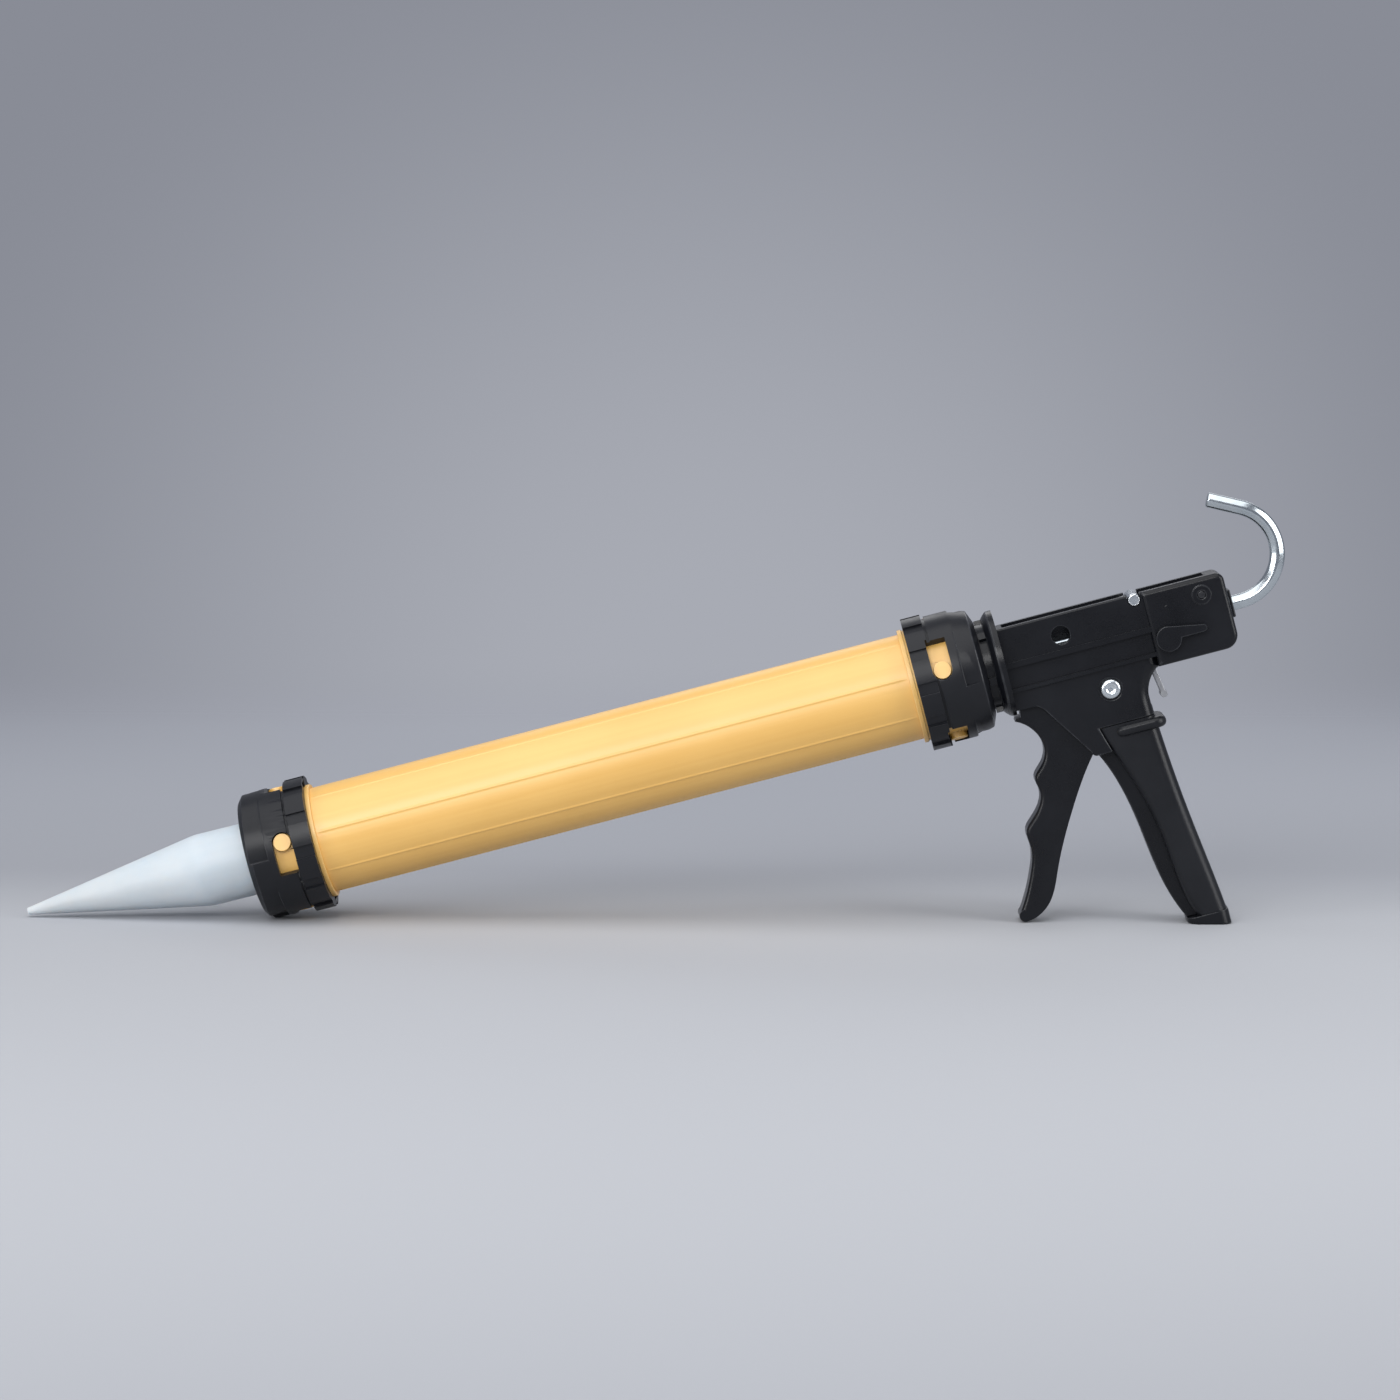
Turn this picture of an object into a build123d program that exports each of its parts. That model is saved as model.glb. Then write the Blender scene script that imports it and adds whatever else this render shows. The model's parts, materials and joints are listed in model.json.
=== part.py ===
from build123d import *
import os
from math import atan2, cos, degrees, radians, sin

# A caulking gun for bulk packs, at real size in millimetres.
# Every piece is drawn in the gun's own axes: X along the barrel towards the hook, Y across, Z up.
# The origin is on the barrel axis at the back end of the rear cap.
# Angles round the barrel run from +Y towards +Z.
# At the end the whole gun is tipped to lie as on a table, on its front cap and its grip foot.

# Fits
SLIDE_GAP = 0.3
CAP_GAP = 0.4
SEAT_GAP = 0.1
PIN_GAP = 0.05
ROD_GAP = 0.08

# Barrel and its collars
BORE = 51.0
BARREL_WALL = 3.0
BARREL_LENGTH = 388.5
LINE_COUNT = 8
LINE_HEIGHT = 0.5
LINE_WIDTH = 1.4
LINE_ANGLE = 30.0
COLLAR_WALL = 1.5
COLLAR_LENGTH = 32.2
BEAD_HEIGHT = 0.8
BEAD_WIDTH = 2.4
PEG_COUNT = 4
PEG_ANGLE = 77.0
PEG_DIAMETER = 9.4
PEG_HEIGHT = 3.3
PEG_SETBACK = 14.0
PEG_GAP = 0.6
LOCK_TURN = 20.0

# Bayonet caps
CAP_LENGTH = 37.0
CAP_LIP = 4.0
CAP_WALL = 4.1
FRONT_RIM_RADIUS = 30.5
FRONT_SHOULDER_RADIUS = 34.2
FRONT_SHOULDER = 3.0
REAR_RIM_RADIUS = 25.2
REAR_SHOULDER_RADIUS = 31.8
REAR_SHOULDER = 2.6
CAP_TAPER = 13.0
BAND_LENGTH = 10.5
BAND_HEIGHT = 1.5
BAND_NOTCHES = 12
BAND_NOTCH_WIDTH = 6.5
GROOVE_WIDTH = 1.6
GROOVE_DEPTH = 1.2
SCOOP_COUNT = 4
SCOOP_SPAN = 68.0
SCOOP_DEPTH = 2.4
SCOOP_LENGTH = 12.0
FRONT_SCOOP_ANGLE = 180.0
REAR_SCOOP_ANGLE = 187.0

# Nozzle
NOZZLE_FLANGE = 3.0
NOZZLE_LENGTH = 121.4
NOZZLE_BASE_RADIUS = 19.6
NOZZLE_BASE_LENGTH = 28.0
NOZZLE_TIP_RADIUS = 1.0
NOZZLE_TIP_BORE = 0.6
NOZZLE_WALL = 1.8

# Swivel of the rear cap on the frame
NECK_RADIUS = 23.0
SWIVEL_WASHER = 1.2
SWIVEL_CLIP = 1.4
CLIP_GROOVE_DEPTH = 1.5
NECK_END = 0.6
NECK_PADS = 6
NECK_PAD_WIDTH = 4.0
NECK_PAD_HEIGHT = 2.2
NECK_PAD_ANGLE = 14.0
DISC_FRONT = 4.2
DISC_RADIUS = 28.7
DISC_THICKNESS = 6.4
DISC_BEVEL = 3.2

# Rod with its ladder hook
ROD_FLATS = 8.0
ROD_EDGE = 0.6
HOOK_START = 140.3
HOOK_RADIUS = 25.5
HOOK_ARC = 152.0
HOOK_TAIL = 18.5

# Piston on the rod's front end
PISTON_LENGTH = 16.0
PISTON_STANDOFF = 3.0
PISTON_GAP = 0.9
SEAL_WIDTH = 4.0
SEAL_DEPTH = 3.0
ROD_SOCKET = 10.0
SCREW_DIAMETER = 5.0
SCREW_HEAD_RADIUS = 4.5
SCREW_HEAD = 3.0
SCREW_LENGTH = 16.0
SCREW_WASHER = 1.2

# Channel frame
BUSHING_RADIUS = 8.0
BEAM_TOP = 19.0
BEAM_WIDTH = 28.0
MIDDLE_RIB_TOP = 0.2
MIDDLE_RIB = 3.0
LOW_RIB_BOTTOM = -15.8
LOW_RIB = 2.0
RIB_STEP = 1.0
PANEL_STEP = 1.2
CHANNEL_WIDTH = 18.0
CHANNEL_FLOOR = -13.0
CHANNEL_FRONT = 14.0
PLATE_WIDTH = 26.8
POCKET_WIDTH = 20.4
POCKET_FRONT = 17.0
POCKET_BACK = 75.0
FRONT_UNDERSIDE = -25.5
WINDOW_X = 43.0
WINDOW_Z = 7.7
WINDOW_RADIUS = 5.0
HOUSING_START = 89.0
HOUSING_END = 133.5
HOUSING_WIDTH = 31.0
HOUSING_BOTTOM = -21.7
HOUSING_WALL = 9.5
HOUSING_EDGE = 2.8
HOUSING_LOW_CORNER = 7.5
HOUSING_TOP_CORNER = 4.5
BEAM_EDGE = 0.8
NECK_WALL = 3.5
BULKHEAD = 2.5

# Trigger and its pivot
PIVOT_X = 61.5
PIVOT_Z = -26.7
HUB_RADIUS = 9.0
PIN_DIAMETER = 8.0
PIN_HEAD_RADIUS = 5.3
PIN_HEAD = 2.4
PIN_RECESS = 0.6
TRIGGER_GAP = 0.4
TRIGGER_WALL = 3.5
TRIGGER_EDGE = 2.5
NOSE_RADIUS = 2.0
NOSE_REACH = 10.55
NOSE_RISE = 17.7

# Drive plate and its spring
DRIVE_PLATE = 4.0
DRIVE_PLATE_TOP = 15.0
DRIVE_PLATE_BOTTOM = -12.4
DRIVE_SPRING_LENGTH = 14.5
DRIVE_SPRING_RADIUS = 6.6
DRIVE_SPRING_WIRE = 1.1
DRIVE_SPRING_TURNS = 5.0

# Catch plate, its pin and its spring
CATCH_PIN_X = 85.0
CATCH_PIN_Z = 16.0
CATCH_PIN_DIAMETER = 7.0
CATCH_TILT = 9.0
CATCH_THICKNESS = 2.5
CATCH_WIDTH = 16.0
CATCH_LENGTH = 53.0
CATCH_TAB_LENGTH = 14.0
CATCH_TAB_WIDTH = 12.0
CATCH_ROLL_RADIUS = 1.9
CATCH_SPRING_Z = -9.2
CATCH_SPRING_RADIUS = 2.6
CATCH_SPRING_WIRE = 0.7
CATCH_SPRING_TURNS = 3.0
SPRING_WALL = 2.0

# Rear rod guide and its pin
GUIDE_LENGTH = 12.0
GUIDE_TOP = 14.0
GUIDE_TAIL = 2.0
GUIDE_TAIL_WIDTH = 14.4
GUIDE_TAIL_TOP = 8.0
GUIDE_TAIL_BOTTOM = -7.0
GUIDE_PIN_X = 120.0
GUIDE_PIN_Z = 9.8
GUIDE_PIN_DIAMETER = 4.0
GUIDE_BOSS_RADIUS = 5.0
GUIDE_BOSS = 0.8

# Lock lever on the side of the housing
LEVER_X = 97.5
LEVER_Z = -8.2
LEVER_HEAD_RADIUS = 6.8
LEVER_REACH = 19.0
LEVER_THICKNESS = 4.2
LEVER_SHAFT_RADIUS = 3.0
LEVER_CLIP = 0.7
LEVER_CLIP_RADIUS = 4.4

# Handle, grip sleeve and foot
NECK_BACK = 81.0
GRIP_FRONT = 50.5
GRIP_TOP = -46.0
GRIP_LENGTH = 110.0
GRIP_WIDTH = 28.0
GRIP_WALL = 3.2
GRIP_BACK_ROUND = 6.5
GRIP_FRONT_ROUND = 3.5
NECK_ROUND = 7.0
WEB_WIDTH = 11.6
GRIP_BEAD = 6.0
GRIP_BEAD_PROUD = 2.4
GRIP_BEAD_BACK = 5.0
FOOT_LIP = 0.7
FOOT_ROUND = 1.0
FOOT_DEPTH = 6.0
FOOT_SET = 1.0
FOOT_SPIGOT = 14.0
FOOT_SPIGOT_DEPTH = 5.0
FOOT_SPIGOT_WIDTH = 12.0

# Stations along the barrel, from the swivel forwards
barrel_radius = BORE / 2 + BARREL_WALL
collar_radius = barrel_radius + COLLAR_WALL
cap_bore = collar_radius + CAP_GAP
cap_radius = cap_bore + CAP_WALL
washer_back = -CAP_LIP - SLIDE_GAP
washer_front = washer_back - SWIVEL_WASHER
clip_back = washer_front - SEAT_GAP
clip_front = clip_back - SWIVEL_CLIP
neck_front = clip_front - NECK_END
barrel_rear = neck_front - 2 * SLIDE_GAP
barrel_front = barrel_rear - BARREL_LENGTH
flange_front = barrel_front - SEAT_GAP - NOZZLE_FLANGE
cap_front = flange_front - SEAT_GAP - CAP_LIP
disc_back = DISC_FRONT + DISC_THICKNESS

# Sizes that follow from the rod
rod_reach = ROD_FLATS / 2 / cos(radians(30)) - ROD_EDGE * (1 / cos(radians(30)) - 1)
guide_bore = rod_reach + ROD_GAP
loose_bore = rod_reach + SLIDE_GAP
piston_front = barrel_front + PISTON_STANDOFF
piston_back = piston_front + PISTON_LENGTH
rod_front = piston_back - ROD_SOCKET

# Stations of the trigger's mechanism, from the pivot
drive_plate_back = PIVOT_X + NOSE_REACH - NOSE_RADIUS - PIN_GAP
drive_plate_front = drive_plate_back - DRIVE_PLATE
bulkhead_back = drive_plate_front - DRIVE_SPRING_LENGTH
guide_front = HOUSING_END - HOUSING_WALL - GUIDE_LENGTH
trigger_half = POCKET_WIDTH / 2 - TRIGGER_GAP

# The tipped pose: the front cap's lower shoulder and the grip foot lie on the table
shoulder_x = cap_front + FRONT_SHOULDER
foot_rest_x = NECK_BACK + FOOT_SET
foot_rest_drop = GRIP_LENGTH - GRIP_TOP + FOOT_DEPTH
tilt = degrees(atan2(foot_rest_drop - FRONT_SHOULDER_RADIUS, foot_rest_x - shoulder_x))
table = Plane(
    origin=(foot_rest_x, 0, -foot_rest_drop),
    x_dir=(cos(radians(tilt)), 0, -sin(radians(tilt))),
    z_dir=(sin(radians(tilt)), 0, cos(radians(tilt))),
)


def radial_plane(x, angle, radius):
    """The plane that faces outwards at one angle round the barrel axis."""
    outwards = Vector(0, cos(radians(angle)), sin(radians(angle)))
    return Plane(origin=Vector(x, 0, 0) + outwards * radius, x_dir=(1, 0, 0), z_dir=outwards)


def round_the_axis(first, count):
    """Evenly spaced angles round the barrel axis."""
    return [first + 360 * step / count for step in range(count)]


def at_pivot(x, z):
    """A point of the side view, given from the trigger's pivot."""
    return (PIVOT_X + x, PIVOT_Z + z)


# Barrel tube
line_rear = barrel_rear - COLLAR_LENGTH
line_length = BARREL_LENGTH - 2 * COLLAR_LENGTH
with BuildPart() as barrel_tube:
    with BuildSketch(Plane.YZ.offset(barrel_rear)):
        Circle(barrel_radius)
        Circle(BORE / 2, mode=Mode.SUBTRACT)
    extrude(amount=-BARREL_LENGTH)
    # Faint moulded lines between the two collars
    with BuildSketch(Plane.YZ.offset(line_rear)):
        with PolarLocations(barrel_radius, LINE_COUNT, start_angle=LINE_ANGLE):
            Rectangle(2 * LINE_HEIGHT, LINE_WIDTH)
    extrude(amount=-line_length)


def bayonet_collar():
    """A ring with a bead at its inner end and its pegs, its outer end at X 0."""
    inner_radius = barrel_radius + PIN_GAP
    bead_radius = collar_radius + BEAD_HEIGHT
    bead_start = COLLAR_LENGTH - BEAD_WIDTH
    with BuildPart() as collar:
        with BuildSketch(Plane.XZ):
            with BuildLine():
                Polyline(
                    (0, inner_radius),
                    (0, collar_radius),
                    (bead_start, collar_radius),
                    (bead_start, bead_radius),
                    (COLLAR_LENGTH, bead_radius),
                    (COLLAR_LENGTH, inner_radius),
                    close=True,
                )
            make_face()
        revolve(axis=Axis.X)
        for angle in round_the_axis(PEG_ANGLE, PEG_COUNT):
            with BuildSketch(radial_plane(PEG_SETBACK, angle, collar_radius - COLLAR_WALL / 2)):
                Circle(PEG_DIAMETER / 2)
            extrude(amount=COLLAR_WALL / 2 + PEG_HEIGHT)
    return collar.part


# The two collars
with BuildPart() as front_collar:
    with Locations((barrel_front, 0, 0)):
        add(bayonet_collar())
with BuildPart() as rear_collar:
    with Locations((-barrel_rear, 0, 0)):
        add(bayonet_collar())
    mirror(about=Plane.YZ, mode=Mode.REPLACE)


def bayonet_cap(lip_bore, rim_radius, shoulder, shoulder_radius, slot_x, turn, scoop_angle):
    """A cap with its outer end at X 0; its slots run the way of turn from the locked pegs."""
    band_start = CAP_LENGTH - BAND_LENGTH
    band_radius = cap_radius + BAND_HEIGHT
    slot_width = PEG_DIAMETER + 2 * PEG_GAP
    slot_end = degrees(slot_width / 2 / cap_bore)
    channel_top = collar_radius + PEG_HEIGHT + SLIDE_GAP
    channel_floor = collar_radius - COLLAR_WALL
    channel_length = CAP_LENGTH - slot_x
    with BuildPart() as cap:
        with BuildSketch(Plane.XZ):
            with BuildLine():
                Polyline(
                    (0, lip_bore),
                    (0, rim_radius),
                    (shoulder, shoulder_radius),
                    (CAP_TAPER, cap_radius),
                    (band_start - GROOVE_WIDTH, cap_radius),
                    (band_start - GROOVE_WIDTH, cap_radius - GROOVE_DEPTH),
                    (band_start, cap_radius - GROOVE_DEPTH),
                    (band_start, band_radius),
                    (CAP_LENGTH, band_radius),
                    (CAP_LENGTH, cap_bore),
                    (CAP_LIP, cap_bore),
                    (CAP_LIP, lip_bore),
                    close=True,
                )
            make_face()
        revolve(axis=Axis.X)
        # Notches across the band
        with BuildSketch(Plane.YZ.offset(band_start)):
            with PolarLocations(band_radius, BAND_NOTCHES):
                Rectangle(2 * BAND_HEIGHT, BAND_NOTCH_WIDTH)
        extrude(amount=BAND_LENGTH, mode=Mode.SUBTRACT)
        # Finger scoops, each a ramp that ends in a step
        for angle in round_the_axis(scoop_angle, SCOOP_COUNT):
            deep = cap_radius - SCOOP_DEPTH
            outside = cap_radius + BAND_HEIGHT
            middle = angle - SCOOP_SPAN / 2
            with BuildSketch(Plane.YZ):
                with BuildLine():
                    step_foot = Vector(deep, 0).rotate(Axis.Z, angle)
                    step_top = Vector(outside, 0).rotate(Axis.Z, angle)
                    over = Vector(outside, 0).rotate(Axis.Z, middle)
                    far_top = Vector(outside, 0).rotate(Axis.Z, angle - SCOOP_SPAN)
                    far_foot = Vector(cap_radius, 0).rotate(Axis.Z, angle - SCOOP_SPAN)
                    ramp = Vector(cap_radius - SCOOP_DEPTH / 2, 0).rotate(Axis.Z, middle)
                    Line(step_foot, step_top)
                    ThreePointArc(step_top, over, far_top)
                    Line(far_top, far_foot)
                    ThreePointArc(far_foot, ramp, step_foot)
                make_face()
            extrude(amount=SCOOP_LENGTH, mode=Mode.SUBTRACT)
        for angle in round_the_axis(PEG_ANGLE, PEG_COUNT):
            # Window: round at the locked peg, square at its other end
            first = angle if turn > 0 else angle + turn - slot_end
            with BuildSketch(Plane.XY.rotated((first, 0, 0))):
                with Locations((slot_x, cap_radius)):
                    Rectangle(slot_width, 4 * CAP_WALL)
            revolve(axis=Axis.X, revolution_arc=abs(turn) + slot_end, mode=Mode.SUBTRACT)
            with BuildSketch(radial_plane(slot_x, angle, collar_radius)):
                Circle(slot_width / 2)
            extrude(amount=2 * CAP_WALL, mode=Mode.SUBTRACT)
            # Entry channel for the peg, from the window to the open end
            with BuildSketch(radial_plane(slot_x + channel_length / 2, angle + turn, channel_floor)):
                Rectangle(channel_length, slot_width)
            extrude(amount=channel_top - channel_floor, mode=Mode.SUBTRACT)
    return cap.part


# The front cap, which clamps the nozzle
with BuildPart() as front_cap:
    with Locations((cap_front, 0, 0)):
        add(
            bayonet_cap(
                NOZZLE_BASE_RADIUS + CAP_GAP,
                FRONT_RIM_RADIUS,
                FRONT_SHOULDER,
                FRONT_SHOULDER_RADIUS,
                barrel_front + PEG_SETBACK - cap_front,
                LOCK_TURN,
                FRONT_SCOOP_ANGLE,
            )
        )

# The rear cap, which turns on the frame's neck
with BuildPart() as rear_cap:
    add(
        bayonet_cap(
            NECK_RADIUS + SLIDE_GAP,
            REAR_RIM_RADIUS,
            REAR_SHOULDER,
            REAR_SHOULDER_RADIUS,
            PEG_SETBACK - barrel_rear,
            -LOCK_TURN,
            REAR_SCOOP_ANGLE,
        )
    )
    mirror(about=Plane.YZ, mode=Mode.REPLACE)

# Nozzle, one hollow turned shape
flange_back = flange_front + NOZZLE_FLANGE
cone_start = cap_front - NOZZLE_BASE_LENGTH
nozzle_tip = cap_front - NOZZLE_LENGTH
with BuildPart() as nozzle:
    with BuildSketch(Plane.XZ):
        with BuildLine():
            Polyline(
                (flange_back, NOZZLE_BASE_RADIUS - NOZZLE_WALL),
                (flange_back, collar_radius - CAP_GAP),
                (flange_front, collar_radius - CAP_GAP),
                (flange_front, NOZZLE_BASE_RADIUS),
                (cone_start, NOZZLE_BASE_RADIUS),
                (nozzle_tip, NOZZLE_TIP_RADIUS),
                (nozzle_tip, NOZZLE_TIP_BORE),
                (cone_start, NOZZLE_BASE_RADIUS - NOZZLE_WALL),
                close=True,
            )
        make_face()
    revolve(axis=Axis.X)

# Rod, swept along its straight run and round the hook
with BuildPart() as rod:
    with BuildLine(Plane.XZ) as rod_path:
        straight = Line((rod_front, 0), (HOOK_START, 0))
        bend = JernArc(start=straight @ 1, tangent=straight % 1, radius=HOOK_RADIUS, arc_size=HOOK_ARC)
        PolarLine(bend @ 1, HOOK_TAIL, direction=bend % 1)
    with BuildSketch(Plane.YZ.offset(rod_front)) as rod_section:
        RegularPolygon(ROD_FLATS / 2, 6, major_radius=False)
        fillet(rod_section.vertices(), ROD_EDGE)
    sweep(path=rod_path.line)
    # Tapped hole for the piston's screw
    with BuildSketch(Plane.YZ.offset(rod_front)):
        Circle(SCREW_DIAMETER / 2 + PIN_GAP)
    extrude(amount=SCREW_LENGTH, mode=Mode.SUBTRACT)

# Piston with a groove for its seal, a socket for the rod and a seat for its screw
piston_radius = BORE / 2 - PISTON_GAP
seal_front = piston_front + (PISTON_LENGTH - SEAL_WIDTH) / 2
seal_floor = piston_radius - SEAL_DEPTH
screw_seat = piston_front + SCREW_HEAD + SCREW_WASHER + SEAT_GAP
with BuildPart() as piston:
    with BuildSketch(Plane.YZ.offset(piston_front)):
        Circle(piston_radius)
    extrude(amount=PISTON_LENGTH)
    with BuildSketch(Plane.YZ.offset(seal_front)):
        Circle(piston_radius)
        Circle(seal_floor, mode=Mode.SUBTRACT)
    extrude(amount=SEAL_WIDTH, mode=Mode.SUBTRACT)
    with BuildSketch(Plane.YZ.offset(rod_front - SEAT_GAP)):
        RegularPolygon(ROD_FLATS / 2 + SEAT_GAP, 6, major_radius=False)
    extrude(amount=ROD_SOCKET + SEAT_GAP, mode=Mode.SUBTRACT)
    with BuildSketch(Plane.YZ.offset(piston_front)):
        Circle(SCREW_DIAMETER / 2 + SEAT_GAP)
    extrude(amount=PISTON_LENGTH, mode=Mode.SUBTRACT)
    with BuildSketch(Plane.YZ.offset(piston_front)):
        Circle(SCREW_HEAD_RADIUS + 1)
    extrude(amount=screw_seat - piston_front, mode=Mode.SUBTRACT)

# Seal ring in the piston's groove
with BuildPart() as piston_seal:
    with BuildSketch(Plane.YZ.offset(seal_front + SEAT_GAP)):
        Circle(BORE / 2 - SLIDE_GAP)
        Circle(seal_floor + PIN_GAP, mode=Mode.SUBTRACT)
    extrude(amount=SEAL_WIDTH - 2 * SEAT_GAP)

# Washer and screw that hold the piston on the rod
with BuildPart() as piston_washer:
    with BuildSketch(Plane.YZ.offset(screw_seat)):
        Circle(SCREW_HEAD_RADIUS + 0.5)
        Circle(SCREW_DIAMETER / 2 + SEAT_GAP, mode=Mode.SUBTRACT)
    extrude(amount=-SCREW_WASHER)
screw_head_back = screw_seat - SCREW_WASHER - PIN_GAP
with BuildPart() as piston_screw:
    with BuildSketch(Plane.YZ.offset(screw_head_back)):
        RegularPolygon(SCREW_HEAD_RADIUS, 6)
    extrude(amount=-SCREW_HEAD)
    with BuildSketch(Plane.YZ.offset(screw_head_back)):
        Circle(SCREW_DIAMETER / 2)
    extrude(amount=rod_front - screw_head_back + SCREW_LENGTH - 1)

# Sections of the grip
grip_bottom = GRIP_TOP - GRIP_LENGTH
grip_stations = [
    (GRIP_TOP, GRIP_FRONT, NECK_BACK),
    (GRIP_TOP - 0.18 * GRIP_LENGTH, GRIP_FRONT + 6.5, NECK_BACK + 1.4),
    (GRIP_TOP - 0.49 * GRIP_LENGTH, GRIP_FRONT + 16.5, NECK_BACK + 4.6),
    (GRIP_TOP - 0.75 * GRIP_LENGTH, GRIP_FRONT + 20.0, NECK_BACK + 8.2),
    (grip_bottom, GRIP_FRONT + 26.0, NECK_BACK + 11.4),
]


def grip_section(height, front, back, inset):
    """One section of the grip seen from above, drawn in by an inset, rounder at its back."""
    with BuildSketch(Plane.XY.offset(height)) as section:
        with Locations(((front + back) / 2, 0)):
            Rectangle(back - front - 2 * inset, GRIP_WIDTH - 2 * inset)
        fillet(section.vertices().group_by(Axis.X)[-1], GRIP_BACK_ROUND - inset / 2)
        fillet(section.vertices().group_by(Axis.X)[0], GRIP_FRONT_ROUND - inset / 2)
    return section.sketch


def grip_shape(inset):
    """The grip's rounded body, drawn in by an inset."""
    with BuildPart() as body:
        loft(sections=[grip_section(*station, inset) for station in grip_stations])
    return body.part


def handle_web(width):
    """The flat web in front of the grip, which the trigger's two walls straddle."""
    web_top = at_pivot(-16.4, -29.8)
    with BuildPart() as web:
        with BuildSketch(Plane.XZ):
            with BuildLine():
                Line((POCKET_BACK, PIVOT_Z - 13.3), web_top)
                front = Spline(
                    web_top,
                    (GRIP_FRONT + 2.5, GRIP_TOP - 0.27 * GRIP_LENGTH),
                    (GRIP_FRONT + 7.5, GRIP_TOP - 0.48 * GRIP_LENGTH),
                    (GRIP_FRONT + 11.6, GRIP_TOP - 0.75 * GRIP_LENGTH),
                    (GRIP_FRONT + 20.4, grip_bottom),
                )
                Polyline(
                    front @ 1,
                    (NECK_BACK + 4.0, grip_bottom),
                    (NECK_BACK - 1.0, GRIP_TOP - 0.49 * GRIP_LENGTH),
                    (NECK_BACK - 4.5, GRIP_TOP),
                    (NECK_BACK - 4.5, PIVOT_Z - 13.3),
                    (POCKET_BACK, PIVOT_Z - 13.3),
                )
            make_face()
        extrude(amount=width / 2, both=True)
    return web.part


def rear_housing():
    """The block at the frame's back end, rounded at its edges."""
    with BuildPart() as housing:
        with BuildSketch(Plane.XZ) as side:
            with BuildLine():
                Polyline(
                    (HOUSING_START, HOUSING_BOTTOM),
                    (HOUSING_END, HOUSING_BOTTOM),
                    (HOUSING_END, BEAM_TOP),
                    (HOUSING_START, BEAM_TOP),
                    close=True,
                )
            make_face()
            fillet(side.vertices().group_by(Axis.X)[-1].sort_by(Axis.Y)[0], HOUSING_LOW_CORNER)
            fillet(side.vertices().group_by(Axis.Y)[-1].sort_by(Axis.X)[-1], HOUSING_TOP_CORNER)
        extrude(amount=HOUSING_WIDTH / 2, both=True)
        fillet(housing.faces().filter_by(Axis.Y).edges(), HOUSING_EDGE)
    return housing.part


def plates_and_neck():
    """The two web plates and the handle's neck as one slab, before the pocket is cut."""
    neck_bottom = GRIP_TOP + SEAT_GAP
    tip_start = at_pivot(-14.5, -32.8)
    tip_end = at_pivot(-18.3, -30.1)
    slope_top = at_pivot(-35.5, -3.8)
    housing_foot = (HOUSING_START + 1, HOUSING_BOTTOM)
    neck_start = (NECK_BACK - 0.2, PIVOT_Z - 11.3)
    with BuildPart() as slab:
        with BuildSketch(Plane.XZ):
            with BuildLine():
                Polyline(
                    neck_start,
                    (NECK_BACK, neck_bottom),
                    (GRIP_FRONT - CAP_GAP, neck_bottom),
                    (GRIP_FRONT + 3.5, PIVOT_Z - 32.8),
                    tip_start,
                )
                ThreePointArc(tip_start, at_pivot(-16.9, -32.1), tip_end)
                Line(tip_end, slope_top)
                ThreePointArc(slope_top, at_pivot(-38.0, -0.6), at_pivot(-41.5, FRONT_UNDERSIDE - PIVOT_Z))
                Polyline(
                    at_pivot(-41.5, FRONT_UNDERSIDE - PIVOT_Z),
                    (disc_back, FRONT_UNDERSIDE),
                    (disc_back, LOW_RIB_BOTTOM + 1),
                    (HOUSING_START + 1, LOW_RIB_BOTTOM + 1),
                    housing_foot,
                )
                ThreePointArc(housing_foot, (NECK_BACK + 2.2, PIVOT_Z - 1.8), neck_start)
            make_face()
        extrude(amount=PLATE_WIDTH / 2, both=True)
        back_edges = slab.faces().filter_by(Axis.Y).edges()
        fillet(back_edges.filter_by(lambda edge: edge.center().X > NECK_BACK - 1), NECK_ROUND)
    return slab.part


def side_box(left, right, low, high):
    """A rectangle in the side view, in the sketch being drawn."""
    with Locations(((left + right) / 2, (low + high) / 2)):
        Rectangle(right - left, high - low)


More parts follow.
